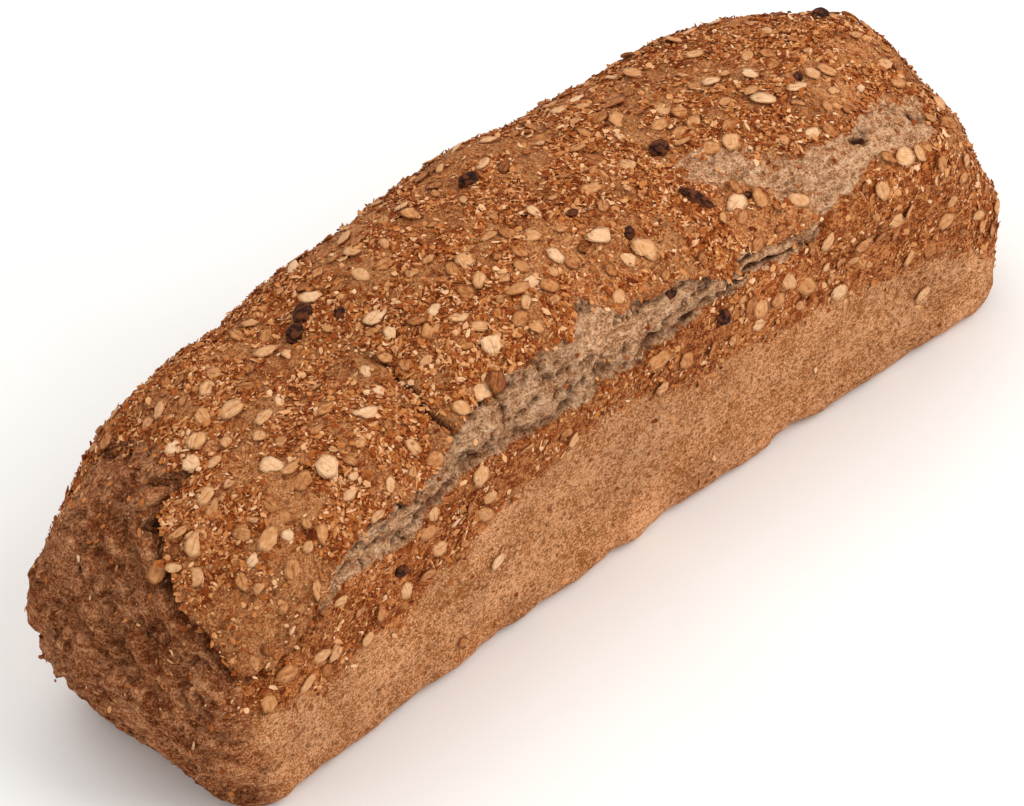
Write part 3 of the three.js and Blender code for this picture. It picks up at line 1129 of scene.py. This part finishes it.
    def surface(self) -> CrustSurface:
        """Works out the skin: the smooth loaf, its lumps, its tears and its roughness."""
        noise = Noise(11)
        level, share, tear = self.levels(noise)
        base = self._settled(self.shape.points(level))
        x, y, z = np.moveaxis(base, -1, 0)
        rows = CrustRows(base, share, tear, noise)
        over = ease(level, 0.85, 1.2)
        face, left, band, bran = self._zones(rows)
        large = self._swollen(rows, over)
        rough = self._grained(rows, over, face, left, band)
        rifts = ease(np.abs(noise.layered(base + 23, (15, 5.5, 4.5), 3)), 0.13, 0.0)
        bare, gap, hang = self._torn(rows, rough, rifts)

        front = np.sin(self.shape.facing) < 0
        inner = self._inside_patch(x, (level - 1) * self.arc, noise) * front
        rough += inner * (0.8 * noise.layered(base, (7, 4, 3), 4) - 0.4 - 0.5 * rifts)
        crack = self._crack(x, y, noise) * (z > self.crack_from)
        wobble = np.stack([noise.layered(base + k, 5.0, 3) for k in (200, 300, 400)], axis=-1)
        pit = bumps(base + 3.0 * wobble, self.pits)
        rough -= self.crack_depth * crack
        rough -= pit

        out = facing_out(base)
        points = base + out * (large + rough)[..., None]
        points = points - normalised(np.gradient(base, axis=0)) * hang[..., None]
        points[..., 2] = np.maximum(points[..., 2], 0.0)
        deep = np.maximum(gap, np.maximum(crack, 0.75 * bare * rifts))
        deep = np.maximum(deep, ease(pit, 0.8, 2.2) * (1 - left))
        thin = 0.72 + 0.4 * noise.layered(base + 77, 4.0, 3)
        clumps = ease(Noise(7).layered(base, 11.0, 3), -0.35, 0.3)
        toast = 0.35 + 0.55 * noise.layered(base, 30.0, 3) + 0.3 * clumps * over
        tongue = hump(np.linalg.norm(base - np.array(self.tongue), axis=-1), 0.0, 17.0)
        masks = {
            "end": np.maximum(left, 0.3 * face),
            "band": band,
            "bran": bran * (1 - 0.9 * inner),
            "clear": np.maximum(bare, inner),
            "crumb": np.clip(np.maximum(bare, inner * thin), 0, 1),
            "shade": ease(deep, 0.35, 1.0),
            # Painted shade where the relief dips below its softened mean.
            "hollow_shade": ease(softened(rough, 3) - rough, 0.12, 1.3) * (1 - 0.3 * left),
            "toast": np.clip(toast, 0, 1) * (1 - inner) + 0.3 * inner,
            "matte": np.clip(1 - clumps + 0.7 * tongue, 0, 1),
        }
        smooth_out = facing_out(base + out * large[..., None])
        return CrustSurface(points, smooth_out, masks)

    @staticmethod
    def _settled(base: np.ndarray) -> np.ndarray:
        """The smooth form, centred on the solid and standing on the solid's foot."""
        low, high = (np.array(corner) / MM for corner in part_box("loaf"))
        flat = base.reshape(-1, 3)
        shift = (low + high) / 2 - (flat.min(axis=0) + flat.max(axis=0)) / 2
        shift[2] = low[2] - flat[:, 2].min()
        return base + shift

    def _inside_patch(self, x: np.ndarray, arc: np.ndarray, noise: Noise) -> np.ndarray:
        """How far inside the bared patch on the shoulder each point is, 0 to 1.

        Each edge of the patch's outline gives a distance, and the sign comes from counting the
        edges that a line to the side crosses.
        """
        corners = np.array(self.patch, float)
        wander = np.stack([x, arc, x * 0], axis=-1)
        px = x + 3.2 * noise.layered(wander, 7.0)
        py = arc + 3.0 * noise.layered(wander + 40, 7.0)
        nearest = np.full(x.shape, 1e9)
        within = np.zeros(x.shape, dtype=bool)
        for (ax, ay), (bx, by) in zip(corners, np.roll(corners, -1, axis=0)):
            run, rise = bx - ax, by - ay
            t = np.clip(((px - ax) * run + (py - ay) * rise) / (run**2 + rise**2), 0, 1)
            nearest = np.minimum(nearest, np.hypot(px - ax - t * run, py - ay - t * rise))
            crossing = ax + (py - ay) * run / (rise if rise else 1e-9)
            within ^= ((ay > py) != (by > py)) & (px < crossing)
        return ease(np.where(within, nearest, -nearest), -3.6, 0.2)

    def _crack(self, x: np.ndarray, y: np.ndarray, noise: Noise) -> np.ndarray:
        """Depth, 0 to 1, of the thin crack that crosses the dome, by distance from its line."""
        wander = np.stack([x, y, x * 0], axis=-1)
        centre = self.crack_x + 2.2 * noise.layered(wander, 9.0)
        return hump(x, centre, 0.95) * ease(-y, 0, 24) * ease(-y, 48, 42)

    def faces(self, rows: int) -> list[np.ndarray]:
        """Quads between the rings, and the two caps zipped across from front to back.

        Args:
            rows: Number of rings.

        Returns:
            Face lists for the walls and dome, the ridge and the base.
        """
        n = self.shape.columns
        row, col = np.meshgrid(np.arange(rows - 1), np.arange(n), indexing="ij")
        nxt = (col + 1) % n
        quads = [row * n + col, row * n + nxt, (row + 1) * n + nxt, (row + 1) * n + col]
        walls = np.stack(quads, axis=-1)
        first = n - self.shape.corner_columns - (self.shape.end_columns - 1) // 2
        step = np.arange(n // 2 - 1)
        front, back = (first + step) % n, (first - 1 - step) % n
        cap = np.stack([front, (front + 1) % n, (back - 1) % n, back], axis=-1)
        return [walls.reshape(-1, 4), cap + (rows - 1) * n, cap[:, ::-1]]

    def build(self, grain: bpy.types.NodeTree) -> CrustSurface:
        """Builds and dresses the skin, in place of the solid.

        Args:
            grain: The shared mealy grain.

        Returns:
            The skin's surface, for the oats, bran and raisins.
        """
        surface = self.surface()
        keys = ("end", "band", "bran", "crumb", "shade", "hollow_shade", "toast", "matte")
        masks = {key: surface.masks[key] for key in keys}
        faces = self.faces(surface.points.shape[0])
        piece = make_piece("crust", surface.points, faces, masks, self.finish.material(grain))
        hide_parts("loaf")
        return surface


# ---------------------------------------------------------------- a raisin's place


@dataclass
class Raisin:
    """One raisin: where it is sunk, its length, width and turn."""

    x: float
    y: float
    z: float
    length: float
    width: float
    turn: float = 0.0


# ---------------------------------------------------------------- oats


class Bake(Enum):
    """How toasted an oat flake is, as the tone its finish reads."""

    PALE = 0.86
    GOLDEN = 0.64
    BROWN = 0.4


PALE, GOLDEN, BROWN = Bake


@dataclass
class OatFlakes:
    """Rolled oats baked onto the crust, lying flat and half sunk.

    Each placed flake is x, y, z, length and bake.
    """

    finish: OatFinish = field(default_factory=OatFinish)
    length: tuple[float, float] = (3.0, 8.6)
    slimness: tuple[float, float] = (0.58, 0.92)
    thickness: float = 0.55
    around: int = 12
    rings: tuple[float, ...] = (0.55, 1.0)
    drawn: int = 1000
    gap: float = 5.0
    placed: tuple[tuple[float, float, float, float, Bake], ...] = (
        (-15, -26, 102, 8.6, PALE), (13, -25, 101, 8.6, PALE), (57, -35, 94, 8.0, PALE),
        (22, -33, 97, 8.4, GOLDEN), (-2, -22, 103, 6.8, PALE), (-22, -7, 107, 6.6, GOLDEN),
        (-25, -16, 105, 6.2, GOLDEN), (-21, -30, 101, 6.0, GOLDEN), (-37, -33, 99, 7.4, PALE),
        (-54, -26, 101, 5.2, GOLDEN), (-52, -1, 100, 8.8, PALE), (-54, -10, 101, 6.6, PALE),
        (-78, -25, 96, 8.0, PALE), (-75, -42, 91, 7.0, GOLDEN), (-56, -41, 93, 6.0, GOLDEN),
        (-97, -30, 91, 7.6, PALE), (-107, -18, 90, 8.6, PALE), (-116, -3, 88, 5.6, GOLDEN),
        (-119, 3, 87, 7.2, PALE), (-113, 9, 89, 7.8, GOLDEN), (-100, 8, 92, 8.0, GOLDEN),
        (-96, -3, 93, 7.2, GOLDEN), (-111, 28, 87, 6.2, GOLDEN), (-99, 21, 92, 6.4, GOLDEN),
        (-79, 17, 96, 7.2, GOLDEN), (-58, 20, 100, 7.0, PALE), (-35, 31, 101, 7.2, GOLDEN),
        (-39, 23, 103, 6.4, GOLDEN), (12, -47, 60, 6.2, GOLDEN), (20, -48, 65, 7.0, BROWN),
        (-60, -49, 76, 8.0, GOLDEN), (-145, -12, 73, 8.0, BROWN), (-136, -17, 81, 9.0, GOLDEN),
        (-135, -50, 53, 8.4, BROWN), (-123, -49, 50, 7.0, GOLDEN), (-117, -49, 46, 6.0, GOLDEN),
        (-106, -48, 43, 5.6, GOLDEN), (-114, -51, 66, 6.6, GOLDEN), (-125, -9, 85, 6.6, GOLDEN),
        (88, 7, 100, 6.6, PALE), (96, -1, 98, 6.4, PALE), (89, -13, 98, 8.6, PALE),
        (101, -16, 97, 6.6, PALE), (112, -12, 97, 6.2, GOLDEN), (136, -17, 87, 6.0, GOLDEN),
        (71, -19, 99, 7.0, GOLDEN), (78, -50, 74, 7.0, GOLDEN), (105, -49, 65, 6.6, GOLDEN),
        (101, -49, 79, 6.2, GOLDEN), (118, -47, 80, 6.0, GOLDEN), (119, 15, 95, 6.2, GOLDEN),
        (67, 5, 100, 6.4, GOLDEN), (-54, -45, 35, 6.2, PALE),
    )

    def template(self) -> tuple[np.ndarray, np.ndarray, np.ndarray, list[np.ndarray]]:
        """A flake as a polar grid: a centre, rings out to the rim, and a ring and centre below.

        Returns:
            Radius and angle of each vertex, whether it is below, and the faces.
        """
        n, rings = self.around, len(self.rings)
        turn = np.linspace(0, 2 * np.pi, n, endpoint=False)
        radius = np.concatenate([[0.0], np.repeat([*self.rings, 0.85], n), [0.0]])
        angle = np.concatenate([[0.0], np.tile(turn, rings + 1), [0.0]])
        below = np.arange(len(radius)) > n * rings
        i = np.arange(n)
        j = (i + 1) % n
        last = 1 + n * (rings + 1)
        fans = [
            np.stack([i * 0, 1 + i, 1 + j], -1),
            np.stack([i * 0 + last, last - n + j, last - n + i], -1),
        ]
        strips = [
            np.stack([1 + k * n + i, 1 + (k + 1) * n + i, 1 + (k + 1) * n + j, 1 + k * n + j], -1)
            for k in range(rings)
        ]
        return radius, angle, below, [np.concatenate(fans), np.concatenate(strips)]

    def _density(self, surface: CrustSurface, raisins: tuple[Raisin, ...]) -> np.ndarray:
        """How thickly the scattered flakes lie at each point of the skin.

        Args:
            surface: The crust they lie on.
            raisins: The raisins, which no scattered flake covers.

        Returns:
            Density at each point, from 0.
        """
        masks = surface.masks
        clumped = 0.3 + ease(Noise(3).layered(surface.points, 20.0, 2), -0.3, 0.4)
        density = masks["bran"] * clumped
        density += 0.6 * ease(masks["band"], 0.5, 1.0) * (1 - masks["bran"]) * clumped
        density = (density + 0.005 * (1 - masks["end"])) * (1 - 0.97 * masks["clear"])
        for r in raisins:
            apart = np.linalg.norm(surface.points - np.array([r.x, r.y, r.z]), axis=-1)
            density = density * (apart > 2.0 + 0.6 * r.length)
        density = density * (1 - masks["shade"]) * (1 - masks["end"])
        return density * ease(surface.points[..., 2], 12, 16) * surface.calm()

    def build(
        self, surface: CrustSurface, grain: bpy.types.NodeTree, raisins: tuple[Raisin, ...]
    ) -> bpy.types.Object:
        """Scatters, shapes and dresses the flakes, and marks the skin that they cover.

        Args:
            surface: The crust they lie on.
            grain: The shared mealy grain.
            raisins: The raisins, which no scattered flake covers.

        Returns:
            One object with every flake.
        """
        rng = np.random.default_rng(5)
        masks = surface.masks
        hand = np.array([surface.nearest(*flake[:3]) for flake in self.placed])
        density = self._density(surface, raisins)
        taken = surface.points.reshape(-1, 3)[hand]
        spots = np.concatenate([hand, surface.spread(density, self.drawn, self.gap, taken, rng)])
        count = len(spots)
        shrunk = rng.beta(1.5, 1.9, count)
        size = self.length[0] + (self.length[1] - self.length[0]) * shrunk
        tone = np.clip(rng.normal(0.42, 0.13, count) + 0.3 * (rng.random(count) < 0.2), 0.1, 0.9)
        size[: len(hand)] = [flake[3] for flake in self.placed]
        tone[: len(hand)] = [flake[4].value for flake in self.placed]
        masks["flaked"] = np.zeros(masks["bran"].shape)
        for spot, length in zip(surface.points.reshape(-1, 3)[spots], size):
            masks["flaked"][np.linalg.norm(surface.points - spot, axis=-1) < 0.33 * length] = 1.0
        tilt = rng.normal(0, 0.19, (count, 2))
        tilt[: len(hand)] *= 0.4
        matrix = surface.frames(spots, rng.uniform(0, 2 * np.pi, count), tilt)
        points, along, across, faces = self.flakes(size, rng)
        sink = rng.uniform(0.15, 0.55, (count, 1))
        sink[: len(hand)] += 0.25
        where = surface.points.reshape(-1, 3)[spots] + surface.outward.reshape(-1, 3)[spots] * sink
        world = np.einsum("nij,nvj->nvi", matrix, points) + where[:, None]
        attributes = {
            "tone": tone[:, None] + 0 * along,
            "along": along,
            "across": across,
            "crease": rng.uniform(-0.4, 1, (count, 1)).clip(0) + 0 * along,
        }
        return make_piece("oat_flakes", world, faces, attributes, self.finish.material(grain))

    def flakes(
        self, size: np.ndarray, rng: np.random.Generator
    ) -> tuple[np.ndarray, np.ndarray, np.ndarray, list[np.ndarray]]:
        """Shapes of all the flakes, each in its own directions.

        An oval whose radius wanders by a sum of cosines and is bitten away on one side, cupped by
        the square of the radius and curled by the square of the length.

        Args:
            size: Length of each flake.
            rng: Random numbers.

        Returns:
            Flakes by vertices by x, y, z; the share of each vertex along and across its flake,
            -1 to 1; and the faces.
        """
        r, a, below, faces = self.template()
        count = len(size)
        one = (count, 1)
        wave = sum(
            rng.normal(0, w, one) * np.cos(k * a + rng.uniform(0, 6.3, one))
            for k, w in ((2, 0.07), (3, 0.09), (5, 0.06))
        )
        bite = rng.uniform(0.1, 0.5, one) * (rng.random(one) < 0.5)
        bite = bite * ease(np.cos(a - rng.uniform(0, 6.3, one)), 0.4, 0.95)
        reach = r * (1 + (wave - bite + rng.normal(0, 0.075, (count, len(r)))) * r**2)
        half = size[:, None] / 2
        slim = rng.uniform(*self.slimness, one)
        along, across = reach * np.cos(a), reach * np.sin(a)
        x, y = half * along, half * slim * across
        z = rng.normal(0.1, 0.16, one) * reach**2 + rng.normal(0, 0.22, one) * along**2
        z = z + 0.1 * np.sin(2.6 * x + rng.uniform(0, 6, one))
        z = z + self.thickness * np.where(below, -0.5, 0.5 - 0.35 * r**4)
        points = np.stack([x, y, z], axis=-1)
        return points, along, across, repeat_faces(faces, len(r), count)


# ---------------------------------------------------------------- bran


@dataclass
class BranShreds:
    """One batch of bran shreds, baked all over the dome and the oat band."""

    name: str
    seed: int
    length: tuple[float, float] = (0.9, 3.0)
    width: tuple[float, float] = (0.35, 1.2)
    straw: float = 0.1
    count: int = 15500
    thickness: float = 0.2

    def build(self, surface: CrustSurface, finish: bpy.types.Material) -> bpy.types.Object:
        """Scatters the shreds: six-sided lenses, pinched at both ends and bent.

        Args:
            surface: The crust they lie on.
            finish: Material of the bran.

        Returns:
            One object with every shred of the batch.
        """
        rng = np.random.default_rng(self.seed)
        masks = surface.masks
        clumped = 1.12 - masks["matte"]
        density = clumped * (masks["bran"] + 0.55 * masks["band"] * (1 - masks["bran"]))
        density = (density + 0.005) * (1 - 0.96 * masks["clear"]) + 0.02 * masks["end"]
        density = density * (1 - masks["shade"]) * ease(surface.points[..., 2], 6, 10)
        density = density * (1 - masks["flaked"])
        spots = surface.strew(density, self.count, rng)
        one = (self.count, 1)
        turn, tilt = rng.uniform(0, 2 * np.pi, self.count), rng.normal(0, 0.34, (self.count, 2))
        matrix = surface.frames(spots, turn, tilt)
        length = rng.uniform(*self.length, one) * rng.uniform(0.5, 1, one)
        width = rng.uniform(*self.width, one)
        rim = [[-1, 0], [-0.45, -1], [0.5, -0.9], [1, 0], [0.45, 1], [-0.5, 0.9]]
        lens = np.array([*rim, [0, 0], [0, 0]])
        corners, sides = len(lens), len(rim)
        x = lens[:, 0] * length / 2 * (1 + rng.normal(0, 0.12, (self.count, corners)))
        y = lens[:, 1] * width / 2 * (1 + rng.normal(0, 0.2, (self.count, corners)))
        height = np.array([0, 0, 0, 0, 0, 0, 1, -1.0])
        z = height * self.thickness + rng.normal(0, 0.14, one) * x**2
        points = np.stack([x, y, z], axis=-1)
        aside = rng.uniform(-0.7, 0.7, (self.count, 2))
        drift = np.column_stack([aside, rng.uniform(0.0, 0.35, self.count)])
        where = surface.points.reshape(-1, 3)[spots] + np.einsum("nij,nj->ni", matrix, drift)
        world = np.einsum("nij,nvj->nvi", matrix, points) + where[:, None]
        i = np.arange(sides)
        j = (i + 1) % sides
        upper = np.stack([i, j, i * 0 + sides], -1)
        lower = np.stack([j, i, i * 0 + sides + 1], -1)
        tone = rng.beta(1.7, 2.4, one) + 0.45 * (rng.random(one) < self.straw)
        tone = np.clip(tone, 0, 1) * np.ones((1, corners))
        faces = repeat_faces([np.concatenate([upper, lower])], corners, self.count)
        return make_piece(self.name, world, faces, {"tone": tone}, finish, smooth=False)


# ---------------------------------------------------------------- raisins


@dataclass
class Raisins:
    """Wrinkled raisins, sunk in the crust."""

    finish: RaisinFinish = field(default_factory=RaisinFinish)
    around: int = 40
    along: int = 22
    raisins: tuple[Raisin, ...] = (
        Raisin(-64, 17, 99, 8, 6.5, 0.9),
        Raisin(-70, 15, 98, 7, 5.5, 0.3),
        Raisin(-57, 8, 100, 4.5, 3.5, 0.5),
        Raisin(3, 19, 105, 8, 6.5, 0.2),
        Raisin(53, -7, 102, 7.5, 6.5, 0.9),
        Raisin(47.5, -29, 98, 12.5, 5.0, -1.0),
        Raisin(135, 8, 95, 8.5, 5.5, 0.4),
        Raisin(36, -50, 72, 7, 5.5, 0.1),
        Raisin(22, -28, 100, 5, 3.5, 1.0),
        Raisin(14, -13, 105, 4, 3, 0.0),
        Raisin(21, -45, 88, 4.5, 3.2, 0.4),
        Raisin(-91, -50, 59, 5.5, 4, 0.6),
        Raisin(107, -10, 98, 5, 3.5, 0.7),
        Raisin(61, -35, 95, 3.5, 2.6, 0.2),
        Raisin(-30, 48, 76, 8, 6, 0.7),
        Raisin(95, 47, 72, 8, 6.5, 1.3),
    )

    def template(self) -> tuple[np.ndarray, list[np.ndarray]]:
        """A ball as rings round an upright pole, with a vertex at either end of the pole.

        Returns:
            Vertices and faces.
        """
        lat = np.linspace(0, np.pi, self.along)[1:-1, None]
        lon = np.linspace(0, 2 * np.pi, self.around, endpoint=False)
        flat = [np.sin(lat) * np.cos(lon), np.sin(lat) * np.sin(lon), np.cos(lat) + 0 * lon]
        ring = np.stack(flat, axis=-1).reshape(-1, 3)
        ball = np.concatenate([ring, [[0, 0, 1.0], [0, 0, -1.0]]])
        rows, n = self.along - 2, self.around
        row, col = np.meshgrid(np.arange(rows - 1), np.arange(n), indexing="ij")
        nxt = (col + 1) % n
        quads = [row * n + col, (row + 1) * n + col, (row + 1) * n + nxt, row * n + nxt]
        i = np.arange(n)
        foot = (rows - 1) * n
        top = np.stack([i * 0 + rows * n, i, (i + 1) % n], -1)
        bottom = np.stack([i * 0 + rows * n + 1, foot + (i + 1) % n, foot + i], -1)
        return ball, [np.stack(quads, -1).reshape(-1, 4), np.concatenate([top, bottom])]

    def build(self, surface: CrustSurface) -> bpy.types.Object:
        """Builds all the raisins: balls pulled in along wandering wrinkles.

        Args:
            surface: The crust they are sunk in.

        Returns:
            One object with every raisin.
        """
        count = len(self.raisins)
        rng = np.random.default_rng(23)
        noise = Noise(29)
        ball, faces = self.template()
        spots = np.array([surface.nearest(r.x, r.y, r.z) for r in self.raisins])
        turns = np.array([r.turn for r in self.raisins])
        matrix = surface.frames(spots, turns, rng.normal(0, 0.1, (count, 2)))
        half = np.array([[r.length / 2, r.width / 2, r.width * 0.4] for r in self.raisins])
        body = ball[None] * half[:, None]
        seeds = np.arange(count)[:, None, None] * 37.0
        folds = np.abs(noise.layered(body + seeds, (2.6, 2.0, 2.0), 3))
        swell = 1 - 0.3 * np.exp(-folds / 0.12) + 0.12 * noise.layered(body + seeds, 5.0, 2)
        body = body * swell[..., None]
        lift = surface.outward.reshape(-1, 3)[spots] * (half[:, 2:] * 0.1)
        world = np.einsum("nij,nvj->nvi", matrix, body)
        world = world + (surface.points.reshape(-1, 3)[spots] + lift)[:, None]
        # Painted light and shade on the wrinkles: 0 in their folds, 1 on their crests.
        crest_light = {"crest_light": ease(folds, 0.05, 0.3)}
        faces = repeat_faces(faces, len(ball), count)
        return make_piece("raisins", world, faces, crest_light, self.finish.material())


# ---------------------------------------------------------------- studio


@dataclass
class Studio:
    """Pale floor, soft light and the camera."""

    floor_size: float = 6.0
    azimuth: float = -37.6
    elevation: float = 41.0
    roll: float = -7.3
    distance: float = 1.627
    lens: float = 193.4
    aim: tuple[float, float, float] = (0.0, 0.0, 0.0385)
    slide: tuple[float, float] = (0.0048, 0.0039)
    key_power: float = 17.5
    fill: float = 0.8

    def build_camera(self) -> bpy.types.Object:
        """Places the camera round the aim point, rolled about its own line of sight."""
        a, e, r = np.radians([self.azimuth, self.elevation, self.roll])
        back = np.array([np.sin(a) * np.cos(e), -np.cos(a) * np.cos(e), np.sin(e)])
        right = normalised(np.cross(-back, [0.0, 0.0, 1.0]))
        up = np.cross(right, -back)
        right, up = np.cos(r) * right + np.sin(r) * up, np.cos(r) * up - np.sin(r) * right
        place = np.array(self.aim) + back * self.distance
        place = place - right * self.slide[0] - up * self.slide[1]
        data = bpy.data.cameras.new("camera")
        data.lens = self.lens
        data.sensor_width = 36.0
        data.clip_start, data.clip_end = 0.05, 50.0
        camera = bpy.data.objects.new("camera", data)
        turn = np.eye(4)
        turn[:3, 0], turn[:3, 1], turn[:3, 2], turn[:3, 3] = right, up, back, place
        camera.matrix_world = Matrix(turn.tolist())
        bpy.context.scene.collection.objects.link(camera)
        bpy.context.scene.camera = camera
        return camera

    def build_floor(self, finish: FloorFinish) -> bpy.types.Object:
        """Lays a flat floor just under the loaf."""
        h = self.floor_size / 2
        mesh = bpy.data.meshes.new("floor")
        mesh.from_pydata([(-h, -h, 0), (h, -h, 0), (h, h, 0), (-h, h, 0)], [], [(0, 1, 2, 3)])
        mesh.materials.append(finish.material())
        floor = bpy.data.objects.new("floor", mesh)
        bpy.context.scene.collection.objects.link(floor)
        return floor

    def build_lights(self) -> None:
        """Hangs a large soft key light in front and to the right, under an even pale sky."""
        for name, place, size, power in (
            ("key", (0.75, -1.15, 1.25), 1.3, self.key_power),
            ("top", (-0.1, 0.5, 1.6), 1.5, self.key_power * 0.35),
        ):
            data = bpy.data.lights.new(name, "AREA")
            data.shape = "DISK"
            data.size = size
            data.energy = power
            data.color = (1.0, 0.985, 0.96)
            light = bpy.data.objects.new(name, data)
            light.location = place
            light.rotation_euler = (-Vector(place)).to_track_quat("-Z", "Y").to_euler()
            bpy.context.scene.collection.objects.link(light)
        world = bpy.data.worlds.new("studio")
        world.use_nodes = True
        sky = world.node_tree.nodes["Background"]
        sky.inputs["Color"].default_value = (1.0, 1.0, 1.0, 1.0)
        sky.inputs["Strength"].default_value = self.fill
        bpy.context.scene.world = world
        bpy.context.scene.view_settings.view_transform = "Standard"


def main() -> None:
    """Builds the camera, the crust and everything baked onto it, then the floor and lights."""
    logging.basicConfig(level=logging.INFO, format="%(name)s %(message)s")
    studio = Studio()
    studio.build_camera()
    grain = meal_grain_group()
    surface = Crust().build(grain)
    raisins = Raisins()
    OatFlakes().build(surface, grain, raisins.raisins)
    bran = BranFinish().material()
    for batch in (
        BranShreds("bran_shreds_large", 41, length=(1.7, 4.3), width=(0.6, 1.9), count=13000),
        BranShreds("bran_shreds_small", 43),
        BranShreds("bran_meal", 47, length=(0.6, 1.5), width=(0.35, 0.8), straw=0.16),
    ):
        batch.build(surface, bran)
    raisins.build(surface)
    studio.build_floor(FloorFinish())
    studio.build_lights()


if __name__ == "__main__":
    main()
